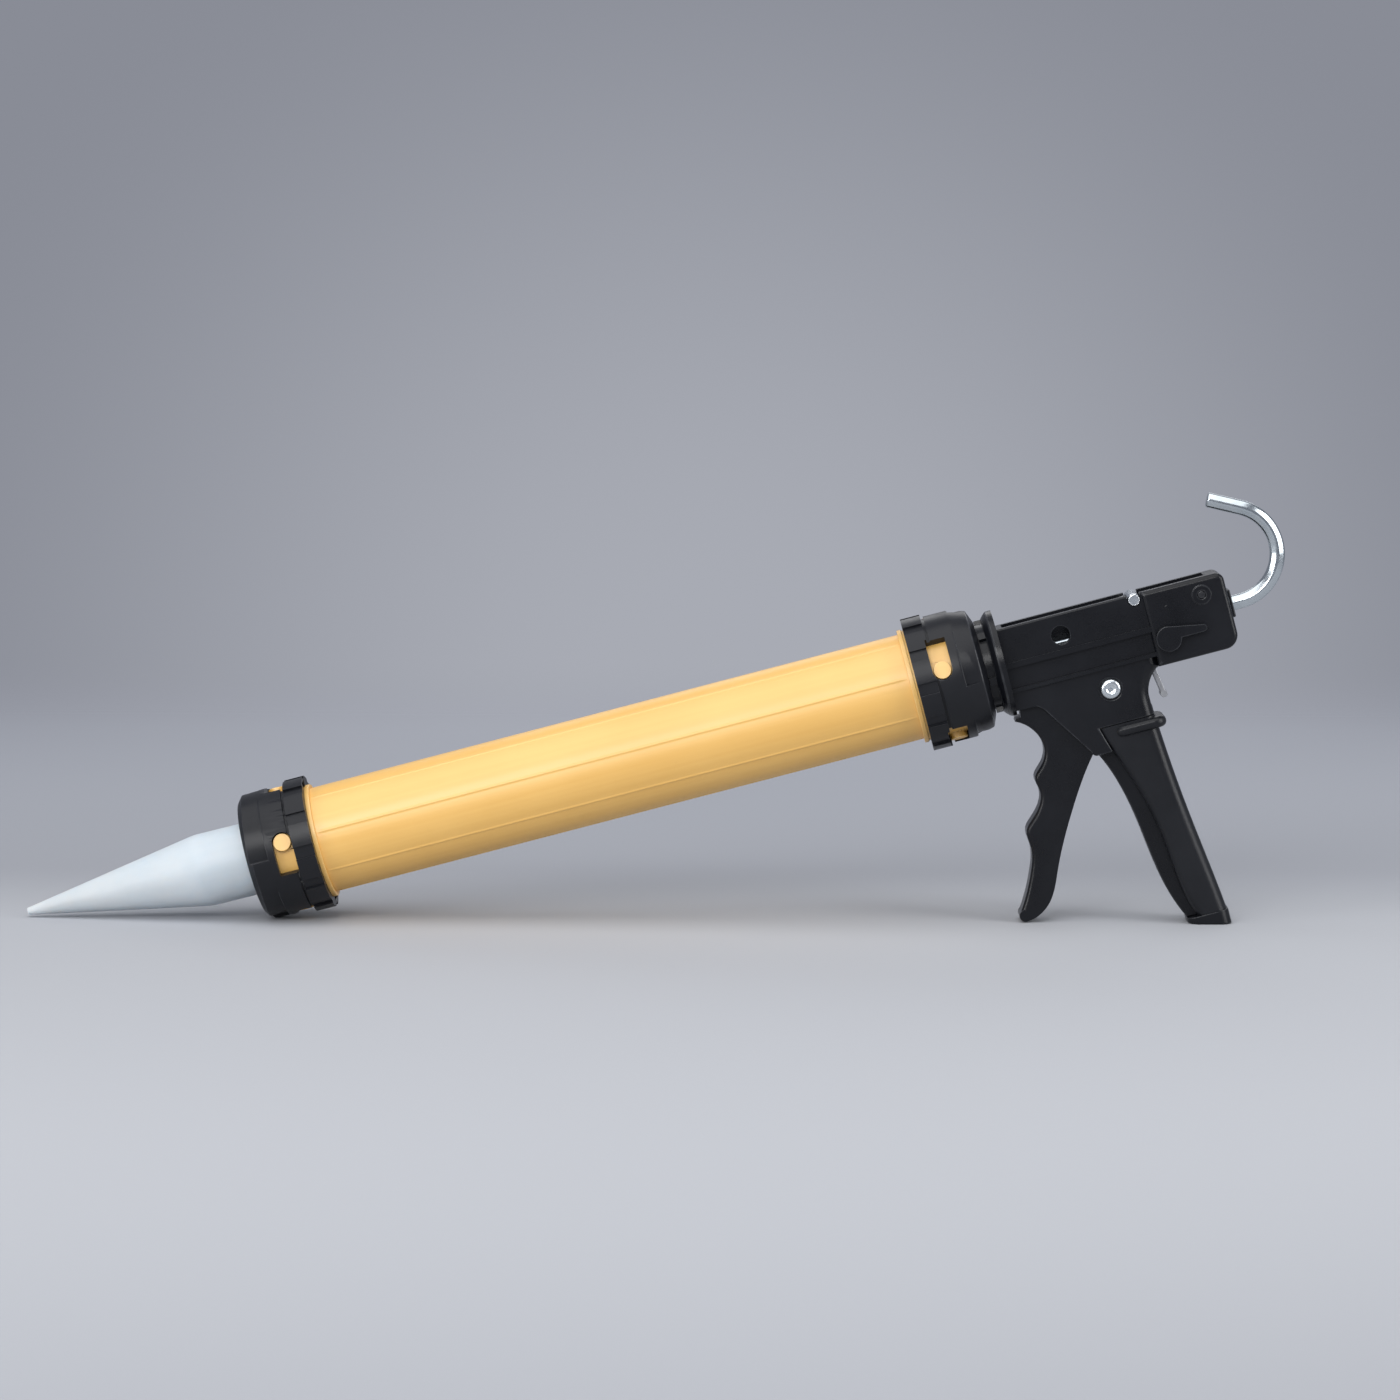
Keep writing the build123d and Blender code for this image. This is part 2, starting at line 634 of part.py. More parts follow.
# Frame
channel_back = HOUSING_END - HOUSING_WALL
beam_half = BEAM_WIDTH / 2
rib_half = beam_half + RIB_STEP
panel_half = beam_half - PANEL_STEP
rib_foot = MIDDLE_RIB_TOP - MIDDLE_RIB
low_rib_top = LOW_RIB_BOTTOM + LOW_RIB
spring_wall_front = POCKET_BACK + 1
spring_wall_back = spring_wall_front + SPRING_WALL
catch_slot_front = spring_wall_back + 2.2
catch_slot_back = HOUSING_START + 0.5
with BuildPart() as frame:
    # Neck and flange disc, turned about the barrel axis
    with BuildSketch(Plane.XZ):
        with BuildLine():
            Polyline(
                (neck_front, 0),
                (neck_front, BUSHING_RADIUS + NECK_WALL),
                (DISC_FRONT - NECK_WALL, BUSHING_RADIUS + NECK_WALL),
                (DISC_FRONT - NECK_WALL, NECK_RADIUS - NECK_WALL),
                (neck_front, NECK_RADIUS - NECK_WALL),
                (neck_front, NECK_RADIUS),
                (clip_front - PIN_GAP, NECK_RADIUS),
                (clip_front - PIN_GAP, NECK_RADIUS - CLIP_GROOVE_DEPTH),
                (clip_back + PIN_GAP, NECK_RADIUS - CLIP_GROOVE_DEPTH),
                (clip_back + PIN_GAP, NECK_RADIUS),
                (DISC_FRONT, NECK_RADIUS),
                (DISC_FRONT, DISC_RADIUS - DISC_BEVEL),
                (DISC_FRONT + DISC_BEVEL, DISC_RADIUS),
                (disc_back, DISC_RADIUS),
                (disc_back, 0),
                close=True,
            )
        make_face()
    revolve(axis=Axis.X)
    # Thrust pads between the disc and the rear cap
    with BuildSketch(Plane.YZ.offset(CAP_GAP)):
        with PolarLocations(NECK_RADIUS, NECK_PADS, start_angle=NECK_PAD_ANGLE):
            Rectangle(2 * NECK_PAD_HEIGHT, NECK_PAD_WIDTH)
    extrude(amount=DISC_FRONT - CAP_GAP)
    # Beam with a rib, a sunk panel and a second rib along each side
    with BuildSketch(Plane.YZ.offset(disc_back)):
        with BuildLine():
            Polyline(
                (0, BEAM_TOP),
                (beam_half - BEAM_EDGE, BEAM_TOP),
                (beam_half, BEAM_TOP - BEAM_EDGE),
                (beam_half, MIDDLE_RIB_TOP),
                (rib_half, MIDDLE_RIB_TOP),
                (rib_half, rib_foot),
                (panel_half, rib_foot),
                (panel_half, low_rib_top),
                (rib_half, low_rib_top),
                (rib_half, LOW_RIB_BOTTOM),
                (0, LOW_RIB_BOTTOM),
            )
            mirror(about=Plane.YZ)
        make_face()
    extrude(amount=HOUSING_START + HOUSING_EDGE - disc_back)
    add(plates_and_neck())
    add(rear_housing())
    # Bosses for the guide pin
    with BuildSketch(Plane.XZ):
        with Locations((GUIDE_PIN_X, GUIDE_PIN_Z)):
            Circle(GUIDE_BOSS_RADIUS)
    extrude(amount=HOUSING_WIDTH / 2 + GUIDE_BOSS, both=True)
    # Channel for the rod, open at the top
    with BuildSketch(Plane.XZ):
        side_box(CHANNEL_FRONT, channel_back, CHANNEL_FLOOR, BEAM_TOP + 1)
    extrude(amount=CHANNEL_WIDTH / 2, both=True, mode=Mode.SUBTRACT)
    # Pocket for the trigger, open below
    with BuildSketch(Plane.XZ):
        side_box(POCKET_FRONT, POCKET_BACK, GRIP_TOP - 1, CHANNEL_FLOOR + 0.1)
        side_box(POCKET_FRONT, GRIP_FRONT + 4.5, PIVOT_Z - 36, GRIP_TOP)
    extrude(amount=POCKET_WIDTH / 2, both=True, mode=Mode.SUBTRACT)
    # Bulkhead for the drive spring and a low wall for the catch spring
    with BuildSketch(Plane.XZ):
        side_box(bulkhead_back - BULKHEAD, bulkhead_back, CHANNEL_FLOOR, BEAM_TOP - 6)
        side_box(spring_wall_front, spring_wall_back, CHANNEL_FLOOR - 1, -ROD_FLATS / 2 - 1)
    extrude(amount=CHANNEL_WIDTH / 2 + 1, both=True)
    # Handle core inside the grip sleeve, its root and the web in front of it
    with BuildSketch(Plane.XZ):
        with BuildLine():
            Polyline(
                (POCKET_BACK - 9, GRIP_TOP - 1),
                (POCKET_BACK - 1, PIVOT_Z - 12.3),
                (NECK_BACK - GRIP_WALL - 2, PIVOT_Z - 12.3),
                (NECK_BACK - GRIP_WALL - 2, GRIP_TOP - 1),
                close=True,
            )
        make_face()
    extrude(amount=GRIP_WIDTH / 2 - GRIP_WALL - 1, both=True)
    add(grip_shape(GRIP_WALL))
    add(handle_web(WEB_WIDTH))
    # Bores for the front bushing and for the rod
    with BuildSketch(Plane.YZ.offset(neck_front)):
        Circle(BUSHING_RADIUS + PIN_GAP)
    extrude(amount=CHANNEL_FRONT - neck_front, mode=Mode.SUBTRACT)
    with BuildSketch(Plane.YZ.offset(CHANNEL_FRONT)):
        Circle(loose_bore)
    extrude(amount=drive_plate_front - CHANNEL_FRONT, mode=Mode.SUBTRACT)
    # Opening for the rear guide's tail
    with BuildSketch(Plane.XZ):
        low_end = GUIDE_TAIL_BOTTOM - SEAT_GAP
        side_box(channel_back, HOUSING_END, low_end, GUIDE_TAIL_TOP + SEAT_GAP)
    extrude(amount=GUIDE_TAIL_WIDTH / 2 + SEAT_GAP, both=True, mode=Mode.SUBTRACT)
    # Slot in the floor for the catch plate
    with BuildSketch(Plane.XZ):
        side_box(catch_slot_front, catch_slot_back, PIVOT_Z - 14, CHANNEL_FLOOR + 0.1)
    extrude(amount=CATCH_WIDTH / 2 + 2 * SLIDE_GAP, both=True, mode=Mode.SUBTRACT)
    # Window in the near wall, over the rod
    with BuildSketch(Plane.XZ):
        with Locations((WINDOW_X, WINDOW_Z)):
            Circle(WINDOW_RADIUS)
    extrude(amount=HOUSING_WIDTH, mode=Mode.SUBTRACT)
    # Cross holes: pivot, guide pin and the catch pin's notches
    with BuildSketch(Plane.XZ):
        with Locations((PIVOT_X, PIVOT_Z)):
            Circle(PIN_DIAMETER / 2 + PIN_GAP)
        with Locations((GUIDE_PIN_X, GUIDE_PIN_Z)):
            Circle(GUIDE_PIN_DIAMETER / 2 + PIN_GAP)
        with Locations((CATCH_PIN_X, CATCH_PIN_Z)):
            Circle(CATCH_PIN_DIAMETER / 2 + PIN_GAP)
        notch_half = CATCH_PIN_DIAMETER / 2 + PIN_GAP
        side_box(CATCH_PIN_X - notch_half, CATCH_PIN_X + notch_half, CATCH_PIN_Z, BEAM_TOP + 1)
    extrude(amount=HOUSING_WIDTH, both=True, mode=Mode.SUBTRACT)
    # Sunk seats for the pivot pin's head and clip
    for seat in (Plane.XZ.offset(PLATE_WIDTH / 2), Plane.XZ.offset(-PLATE_WIDTH / 2)):
        with BuildSketch(seat):
            with Locations((PIVOT_X, PIVOT_Z)):
                Circle(PIN_HEAD_RADIUS + 1.4)
        extrude(amount=PIN_RECESS, both=True, mode=Mode.SUBTRACT)
    # Hole for the lock lever's shaft, in the near wall only
    with BuildSketch(Plane.XZ.offset(CHANNEL_WIDTH / 2 - 1)):
        with Locations((LEVER_X, LEVER_Z)):
            Circle(LEVER_SHAFT_RADIUS + PIN_GAP)
    extrude(amount=HOUSING_WIDTH / 2, mode=Mode.SUBTRACT)
    # Socket for the foot's spigot
    with BuildSketch(Plane.XY.offset(grip_bottom)):
        with Locations((NECK_BACK + 2.5, 0)):
            Rectangle(FOOT_SPIGOT_DEPTH + 2 * SEAT_GAP, FOOT_SPIGOT_WIDTH + 2 * SEAT_GAP)
    extrude(amount=FOOT_SPIGOT + SEAT_GAP, mode=Mode.SUBTRACT)


def grip_bead():
    """The rounded bead round the top of the grip's back and sides."""
    front = GRIP_FRONT + 7
    back = NECK_BACK + GRIP_BEAD_BACK
    with BuildPart() as bead:
        with BuildSketch(Plane.XY.offset(GRIP_TOP - 1)) as outline:
            with Locations(((front + back) / 2, 0)):
                Rectangle(back - front, GRIP_WIDTH + 2 * GRIP_BEAD_PROUD)
            fillet(outline.vertices(), GRIP_BACK_ROUND)
        extrude(amount=-GRIP_BEAD)
        fillet(bead.faces().filter_by(Axis.Z).edges(), GRIP_BEAD * 0.45)
    return bead.part


# Grip sleeve with a bead round its top
with BuildPart() as grip_sleeve:
    add(grip_shape(0))
    add(grip_bead())
    add(grip_shape(GRIP_WALL - SEAT_GAP), mode=Mode.SUBTRACT)
    add(handle_web(WEB_WIDTH + 2 * SEAT_GAP), mode=Mode.SUBTRACT)

# Grip foot, cut off level with the table, with a spigot up into the handle core
foot_front = GRIP_FRONT + 20.0
foot_back = NECK_BACK + 11.4 + FOOT_LIP
foot_top = grip_bottom - SEAT_GAP
with BuildPart() as grip_foot:
    with BuildSketch(Plane.XY.offset(foot_top)) as foot_outline:
        with Locations(((foot_front + foot_back) / 2, 0)):
            Rectangle(foot_back - foot_front, GRIP_WIDTH + 2 * FOOT_LIP)
        fillet(foot_outline.vertices(), GRIP_BACK_ROUND)
    extrude(amount=-(FOOT_DEPTH + foot_back - foot_front))
    split(bisect_by=table, keep=Keep.TOP)
    fillet(grip_foot.faces().sort_by(Axis.Z)[0].edges(), FOOT_ROUND)
    with BuildSketch(Plane.XY.offset(foot_top)):
        with Locations((NECK_BACK + 2.5, 0)):
            Rectangle(FOOT_SPIGOT_DEPTH, FOOT_SPIGOT_WIDTH)
    extrude(amount=FOOT_SPIGOT)

# Thrust washer and split clip of the swivel
with BuildPart() as swivel_washer:
    with BuildSketch(Plane.YZ.offset(washer_back)):
        Circle(BORE / 2 + 1.5)
        Circle(NECK_RADIUS + PIN_GAP, mode=Mode.SUBTRACT)
    extrude(amount=-SWIVEL_WASHER)
with BuildPart() as swivel_clip:
    with BuildSketch(Plane.YZ.offset(clip_back)):
        Circle(NECK_RADIUS + CLIP_GROOVE_DEPTH)
        Circle(NECK_RADIUS - CLIP_GROOVE_DEPTH + PIN_GAP, mode=Mode.SUBTRACT)
        with Locations((0, -NECK_RADIUS)):
            Rectangle(2 * NECK_WALL, 4 * CLIP_GROOVE_DEPTH, mode=Mode.SUBTRACT)
    extrude(amount=-SWIVEL_CLIP)

# Front rod bushing, with a flange on the neck's end
bushing_flange = neck_front - SEAT_GAP
with BuildPart() as front_bushing:
    with BuildSketch(Plane.YZ.offset(bushing_flange)):
        Circle(BUSHING_RADIUS + NECK_WALL - 1)
    extrude(amount=-SWIVEL_CLIP)
    with BuildSketch(Plane.YZ.offset(bushing_flange)):
        Circle(BUSHING_RADIUS)
    extrude(amount=CHANNEL_FRONT - bushing_flange)
    with BuildSketch(Plane.YZ.offset(bushing_flange - SWIVEL_CLIP)):
        Circle(guide_bore)
    extrude(amount=CHANNEL_FRONT - bushing_flange + SWIVEL_CLIP, mode=Mode.SUBTRACT)

# Rear rod guide: a block in the channel with a tail through the rear wall
with BuildPart() as rear_guide:
    with BuildSketch(Plane.XZ):
        side_box(guide_front, channel_back - SEAT_GAP, CHANNEL_FLOOR + SEAT_GAP, GUIDE_TOP)
    extrude(amount=CHANNEL_WIDTH / 2 - SEAT_GAP, both=True)
    with BuildSketch(Plane.XZ):
        side_box(guide_front, HOUSING_END + GUIDE_TAIL, GUIDE_TAIL_BOTTOM, GUIDE_TAIL_TOP)
    extrude(amount=GUIDE_TAIL_WIDTH / 2, both=True)
    with BuildSketch(Plane.XZ):
        with Locations((GUIDE_PIN_X, GUIDE_PIN_Z)):
            Circle(GUIDE_PIN_DIAMETER / 2 + PIN_GAP)
    extrude(amount=CHANNEL_WIDTH, both=True, mode=Mode.SUBTRACT)
    with BuildSketch(Plane.YZ.offset(guide_front)):
        Circle(guide_bore)
    extrude(amount=HOUSING_END + GUIDE_TAIL - guide_front, mode=Mode.SUBTRACT)
with BuildPart() as guide_pin:
    with BuildSketch(Plane.XZ):
        with Locations((GUIDE_PIN_X, GUIDE_PIN_Z)):
            Circle(GUIDE_PIN_DIAMETER / 2)
    extrude(amount=HOUSING_WIDTH / 2 + GUIDE_BOSS, both=True)

# Trigger: a finger lever with two walls, a hub and a nose that pushes the drive plate
with BuildPart() as trigger:
    with BuildSketch(Plane.XZ):
        with BuildLine():
            top_stop = FRONT_UNDERSIDE - TRIGGER_GAP - PIVOT_Z
            Polyline(
                at_pivot(-4.5, 7.8),
                at_pivot(-37.5, top_stop),
                at_pivot(-49.0, top_stop),
                at_pivot(-49.7, -2.9),
                at_pivot(-52.5, -3.3),
                at_pivot(-53.1, -4.8),
            )
            # Finger side: two hollows with a bump below each
            fingers = Spline(
                at_pivot(-53.1, -4.8),
                at_pivot(-44.6, -12.0),
                at_pivot(-41.7, -20.5),
                at_pivot(-44.8, -29.8),
                at_pivot(-50.5, -36.8),
                at_pivot(-49.7, -43.5),
                at_pivot(-51.8, -51.2),
                at_pivot(-57.2, -57.4),
                at_pivot(-61.8, -62.8),
                at_pivot(-61.8, -71.0),
                at_pivot(-64.8, -84.0),
                at_pivot(-75.6, -104.2),
            )
            ThreePointArc(fingers @ 1, at_pivot(-76.5, -107.9), at_pivot(-73.0, -109.7))
            Line(at_pivot(-73.0, -109.7), at_pivot(-69.0, -109.1))
            Spline(
                at_pivot(-69.0, -109.1),
                at_pivot(-58.9, -102.3),
                at_pivot(-51.0, -87.3),
                at_pivot(-34.8, -56.8),
                at_pivot(-16.8, -31.0),
            )
            Polyline(
                at_pivot(-16.8, -31.0),
                at_pivot(-17.6, -14.6),
                at_pivot(-6.5, -6.3),
                at_pivot(-4.5, 7.8),
            )
        make_face()
        with Locations((PIVOT_X, PIVOT_Z)):
            Circle(HUB_RADIUS)
    extrude(amount=trigger_half, both=True)
    # Rounded finger edges
    finger_spot = Vector((fingers @ 0.5).X, 0, (fingers @ 0.5).Y)
    side_edges = trigger.faces().filter_by(Axis.Y).edges()
    near_edge = side_edges.sort_by_distance(finger_spot - Vector(0, trigger_half, 0))[0]
    far_edge = side_edges.sort_by_distance(finger_spot + Vector(0, trigger_half, 0))[0]
    fillet([near_edge, far_edge], TRIGGER_EDGE)
    # Hollow at the back, which straddles the handle's web
    with BuildSketch(Plane.XZ):
        with BuildLine():
            Polyline(
                at_pivot(-11.5, -13.8),
                at_pivot(-34.5, -14.3),
                at_pivot(-36.0, -23.3),
                at_pivot(-41.0, -33.3),
                at_pivot(-44.0, -39.3),
                at_pivot(-45.5, -51.3),
                at_pivot(-54.0, -61.3),
                at_pivot(-59.5, -85.3),
                at_pivot(-65.5, -96.3),
                at_pivot(-31.5, -97.3),
                at_pivot(-1.5, -33.3),
                close=True,
            )
        make_face()
    extrude(amount=trigger_half - TRIGGER_WALL, both=True, mode=Mode.SUBTRACT)
    # Nose
    with BuildSketch(Plane.XZ):
        with BuildLine():
            Polyline(
                at_pivot(NOSE_REACH + NOSE_RADIUS, NOSE_RISE),
                at_pivot(HUB_RADIUS - 0.5, 0),
                at_pivot(0, HUB_RADIUS - 1),
                at_pivot(NOSE_REACH - NOSE_RADIUS, NOSE_RISE - 4.1),
                at_pivot(NOSE_REACH - NOSE_RADIUS, NOSE_RISE),
            )
            ThreePointArc(
                at_pivot(NOSE_REACH - NOSE_RADIUS, NOSE_RISE),
                at_pivot(NOSE_REACH, NOSE_RISE + NOSE_RADIUS),
                at_pivot(NOSE_REACH + NOSE_RADIUS, NOSE_RISE),
            )
        make_face()
    extrude(amount=CHANNEL_WIDTH / 2 - TRIGGER_GAP, both=True)
    with BuildSketch(Plane.XZ):
        with Locations((PIVOT_X, PIVOT_Z)):
            Circle(PIN_DIAMETER / 2 + PIN_GAP)
    extrude(amount=POCKET_WIDTH, both=True, mode=Mode.SUBTRACT)

# Pivot pin with a dished head on the near side, and its push-on clip on the far side
head_seat = PLATE_WIDTH / 2 - PIN_RECESS
with BuildPart() as trigger_pin:
    with BuildSketch(Plane.XZ.offset(head_seat)):
        with Locations((PIVOT_X, PIVOT_Z)):
            Circle(PIN_HEAD_RADIUS)
    extrude(amount=PIN_HEAD)
    fillet(trigger_pin.faces().sort_by(Axis.Y)[0].edges(), PIN_HEAD / 3)
    with BuildSketch(Plane.XZ.offset(head_seat + PIN_HEAD)):
        with Locations((PIVOT_X, PIVOT_Z)):
            Circle(PIN_HEAD_RADIUS * 0.5)
    extrude(amount=-PIN_HEAD / 3, taper=30, mode=Mode.SUBTRACT)
    with BuildSketch(Plane.XZ.offset(head_seat)):
        with Locations((PIVOT_X, PIVOT_Z)):
            Circle(PIN_DIAMETER / 2)
    extrude(amount=-2 * head_seat - PIN_HEAD)
with BuildPart() as trigger_pin_clip:
    with BuildSketch(Plane.XZ.offset(-head_seat - PIN_GAP)):
        with Locations((PIVOT_X, PIVOT_Z)):
            Circle(PIN_HEAD_RADIUS + 0.6)
            Circle(PIN_DIAMETER / 2 + PIN_GAP, mode=Mode.SUBTRACT)
    extrude(amount=-PIN_HEAD / 2)

# Drive plate
with BuildPart() as drive_plate:
    with BuildSketch(Plane.XZ):
        side_box(drive_plate_front, drive_plate_back, DRIVE_PLATE_BOTTOM, DRIVE_PLATE_TOP)
    extrude(amount=CHANNEL_WIDTH / 2 - TRIGGER_GAP, both=True)
    with BuildSketch(Plane.YZ.offset(drive_plate_front)):
        Circle(loose_bore)
    extrude(amount=DRIVE_PLATE, mode=Mode.SUBTRACT)


def coil(start, length, height, radius, wire, turns):
    """A coil spring along X, from one station over a length."""
    run = length - wire - 2 * SEAT_GAP
    with BuildPart() as spring:
        with BuildLine() as turn_line:
            Helix(
                pitch=run / turns,
                height=run,
                radius=radius,
                center=(start + SEAT_GAP + wire / 2, 0, height),
                direction=(1, 0, 0),
            )
        with BuildSketch(Plane(origin=turn_line.line @ 0, z_dir=turn_line.line % 0)):
            Circle(wire / 2)
        sweep(path=turn_line.line, is_frenet=True)
    return spring.part


with BuildPart() as drive_spring:
    add(
        coil(
            bulkhead_back,
            DRIVE_SPRING_LENGTH,
            0,
            DRIVE_SPRING_RADIUS,
            DRIVE_SPRING_WIRE,
            DRIVE_SPRING_TURNS,
        )
    )

# Catch pin across the notches in the beam's top
with BuildPart() as catch_pin:
    with BuildSketch(Plane.XZ):
        with Locations((CATCH_PIN_X, CATCH_PIN_Z)):
            Circle(CATCH_PIN_DIAMETER / 2)
    extrude(amount=BEAM_WIDTH / 2, both=True)
    chamfer(catch_pin.faces().filter_by(Axis.Y).edges(), BEAM_EDGE)

# Catch plate: it leans on the pin and ends in a thumb tab with a rolled edge
lean = radians(CATCH_TILT)
plate_offset = CATCH_PIN_DIAMETER / 2 + PIN_GAP
plate_forward = Vector(-cos(lean), 0, -sin(lean))
plate_down = Vector(sin(lean), 0, -cos(lean))
plate_top = Vector(CATCH_PIN_X, 0, CATCH_PIN_Z) + plate_forward * plate_offset
plate_middle = plate_top + plate_forward * (CATCH_THICKNESS / 2)
rod_crossing = plate_middle.Z / cos(lean)
with BuildPart() as catch_plate:
    with BuildSketch(Plane(origin=plate_top, x_dir=(0, 1, 0), z_dir=plate_forward)) as plate_face:
        body_length = CATCH_LENGTH - CATCH_TAB_LENGTH
        with Locations((0, (body_length - BULKHEAD) / 2)):
            Rectangle(CATCH_WIDTH, body_length + BULKHEAD)
        with Locations((0, CATCH_LENGTH / 2)):
            Rectangle(CATCH_TAB_WIDTH, CATCH_LENGTH)
        with Locations((0, rod_crossing)):
            RectangleRounded(2 * loose_bore + 0.6, ROD_FLATS + 2.4, 1.5, mode=Mode.SUBTRACT)
    extrude(amount=CATCH_THICKNESS)
    roll_centre = plate_middle + plate_down * CATCH_LENGTH
    with BuildSketch(Plane.XZ):
        with Locations((roll_centre.X, roll_centre.Z)):
            Circle(CATCH_ROLL_RADIUS)
    extrude(amount=CATCH_TAB_WIDTH / 2, both=True)

# Catch spring between the low wall and the catch plate
spring_drop = (plate_top.Z - CATCH_SPRING_Z) / cos(lean)
plate_face_x = plate_top.X + spring_drop * sin(lean) - CATCH_THICKNESS / cos(lean)
catch_spring_length = plate_face_x - CATCH_SPRING_RADIUS * sin(lean) - spring_wall_back
with BuildPart() as catch_spring:
    add(
        coil(
            spring_wall_back,
            catch_spring_length,
            CATCH_SPRING_Z,
            CATCH_SPRING_RADIUS,
            CATCH_SPRING_WIRE,
            CATCH_SPRING_TURNS,
        )
    )

# Lock lever with its shaft through the near wall, and the clip on the shaft's inner end
lever_back = HOUSING_WIDTH / 2 + SLIDE_GAP
clip_near = CHANNEL_WIDTH / 2 - SLIDE_GAP
clip_far = clip_near - LEVER_CLIP
lever_tip = (LEVER_X + LEVER_REACH, LEVER_Z + 1.2)
with BuildPart() as lock_lever:
    with BuildSketch(Plane.XZ.offset(lever_back)):
        with Locations((LEVER_X, LEVER_Z)):
            Circle(LEVER_HEAD_RADIUS)
        with BuildLine():
            Polyline(
                (LEVER_X, LEVER_Z + LEVER_HEAD_RADIUS),
                (lever_tip[0], lever_tip[1] + 2),
                (lever_tip[0], lever_tip[1] - 2),
                (LEVER_X + LEVER_HEAD_RADIUS / 2, LEVER_Z - 1),
                (LEVER_X, LEVER_Z),
                close=True,
            )
        make_face()
        with Locations(lever_tip):
            Circle(2)
    extrude(amount=LEVER_THICKNESS)
    with BuildSketch(Plane.XZ.offset(lever_back)):
        with Locations((LEVER_X, LEVER_Z)):
            Circle(LEVER_SHAFT_RADIUS)
    extrude(amount=clip_far - 1 - lever_back)
    with BuildSketch(Plane.XZ.offset(clip_near + PIN_GAP)):
        with Locations((LEVER_X, LEVER_Z)):
            Circle(LEVER_SHAFT_RADIUS)
            Circle(LEVER_SHAFT_RADIUS - LEVER_CLIP, mode=Mode.SUBTRACT)
    extrude(amount=-LEVER_CLIP - 2 * PIN_GAP, mode=Mode.SUBTRACT)
with BuildPart() as lever_clip:
    with BuildSketch(Plane.XZ.offset(clip_near)):
        with Locations((LEVER_X, LEVER_Z)):
            Circle(LEVER_CLIP_RADIUS)
            Circle(LEVER_SHAFT_RADIUS - LEVER_CLIP + PIN_GAP, mode=Mode.SUBTRACT)
        with Locations((LEVER_X, LEVER_Z - LEVER_CLIP_RADIUS)):
            Rectangle(LEVER_SHAFT_RADIUS, LEVER_CLIP_RADIUS, mode=Mode.SUBTRACT)
    extrude(amount=-LEVER_CLIP)

pieces = {
    "nozzle": nozzle,
    "front_cap": front_cap,
    "barrel_tube": barrel_tube,
    "front_collar": front_collar,
    "rear_collar": rear_collar,
    "rear_cap": rear_cap,
    "swivel_washer": swivel_washer,
    "swivel_clip": swivel_clip,
    "frame": frame,
    "front_bushing": front_bushing,
    "rear_guide": rear_guide,
    "guide_pin": guide_pin,
    "catch_pin": catch_pin,
    "catch_plate": catch_plate,
    "catch_spring": catch_spring,
    "drive_plate": drive_plate,
    "drive_spring": drive_spring,
    "trigger": trigger,
    "trigger_pin": trigger_pin,
    "trigger_pin_clip": trigger_pin_clip,
    "grip_sleeve": grip_sleeve,
    "grip_foot": grip_foot,
    "rod": rod,
    "piston": piston,
    "piston_seal": piston_seal,
    "piston_washer": piston_washer,
    "piston_screw": piston_screw,
    "lock_lever": lock_lever,
    "lever_clip": lever_clip,
}

# Tip the gun onto the table and put the origin under the middle of its box
tipped = Location((0, 0, 0), (0, -tilt, 0))
boxes = [(tipped * piece.part).bounding_box() for piece in pieces.values()]
middle_x = (min(box.min.X for box in boxes) + max(box.max.X for box in boxes)) / 2
middle_y = (min(box.min.Y for box in boxes) + max(box.max.Y for box in boxes)) / 2
lowest = min(box.min.Z for box in boxes)
at_rest = Location((-middle_x, -middle_y, -lowest)) * tipped

os.makedirs("parts", exist_ok=True)
for label, piece in pieces.items():
    placed = at_rest * piece.part
    placed.label = label
    export_step(placed, f"parts/{label}.step")
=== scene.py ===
import json
import math

import bmesh
import bpy
from mathutils import Matrix, Vector


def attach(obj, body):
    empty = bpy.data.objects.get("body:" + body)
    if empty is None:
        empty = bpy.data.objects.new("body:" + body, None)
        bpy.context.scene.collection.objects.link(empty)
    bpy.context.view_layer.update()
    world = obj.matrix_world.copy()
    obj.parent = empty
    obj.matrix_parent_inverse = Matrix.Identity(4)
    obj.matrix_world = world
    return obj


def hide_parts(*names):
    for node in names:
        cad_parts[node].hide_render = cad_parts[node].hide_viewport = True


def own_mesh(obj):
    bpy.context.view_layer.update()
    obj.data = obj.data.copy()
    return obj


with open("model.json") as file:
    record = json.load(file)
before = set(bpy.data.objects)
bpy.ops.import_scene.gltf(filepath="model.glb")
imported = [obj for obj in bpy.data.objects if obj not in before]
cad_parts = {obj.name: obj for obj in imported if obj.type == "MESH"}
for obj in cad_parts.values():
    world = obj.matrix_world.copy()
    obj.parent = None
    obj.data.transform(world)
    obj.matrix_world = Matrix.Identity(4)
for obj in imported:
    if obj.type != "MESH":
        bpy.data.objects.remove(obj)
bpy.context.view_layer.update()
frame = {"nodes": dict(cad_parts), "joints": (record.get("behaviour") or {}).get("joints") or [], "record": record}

MM = 0.001

# The gun's own axes, read from the swivel joint: X along the barrel to the hook, Y across, Z up
joints = {joint["name"]: joint for joint in frame["joints"]}
GUN_ORIGIN = Vector(joints["barrel_spin"]["pos_m"])
GUN_X = Vector(joints["barrel_spin"]["axis"]).normalized()
GUN_Y = Vector((0, 1, 0))
GUN_Z = GUN_X.cross(GUN_Y)
GUN = Matrix.Translation(GUN_ORIGIN) @ Matrix((GUN_X, GUN_Y, GUN_Z)).transposed().to_4x4()
TILT = math.atan2(GUN_X.z, GUN_X.x)

# Which body carries each CAD node
BODY = {node: body for body, nodes in frame["record"]["behaviour"]["bodies"].items() for node in nodes}


def gun_point(x, y, z):
    """A point given in the gun's axes in millimetres, in the row frame in metres."""
    return GUN @ (Vector((x, y, z)) * MM)


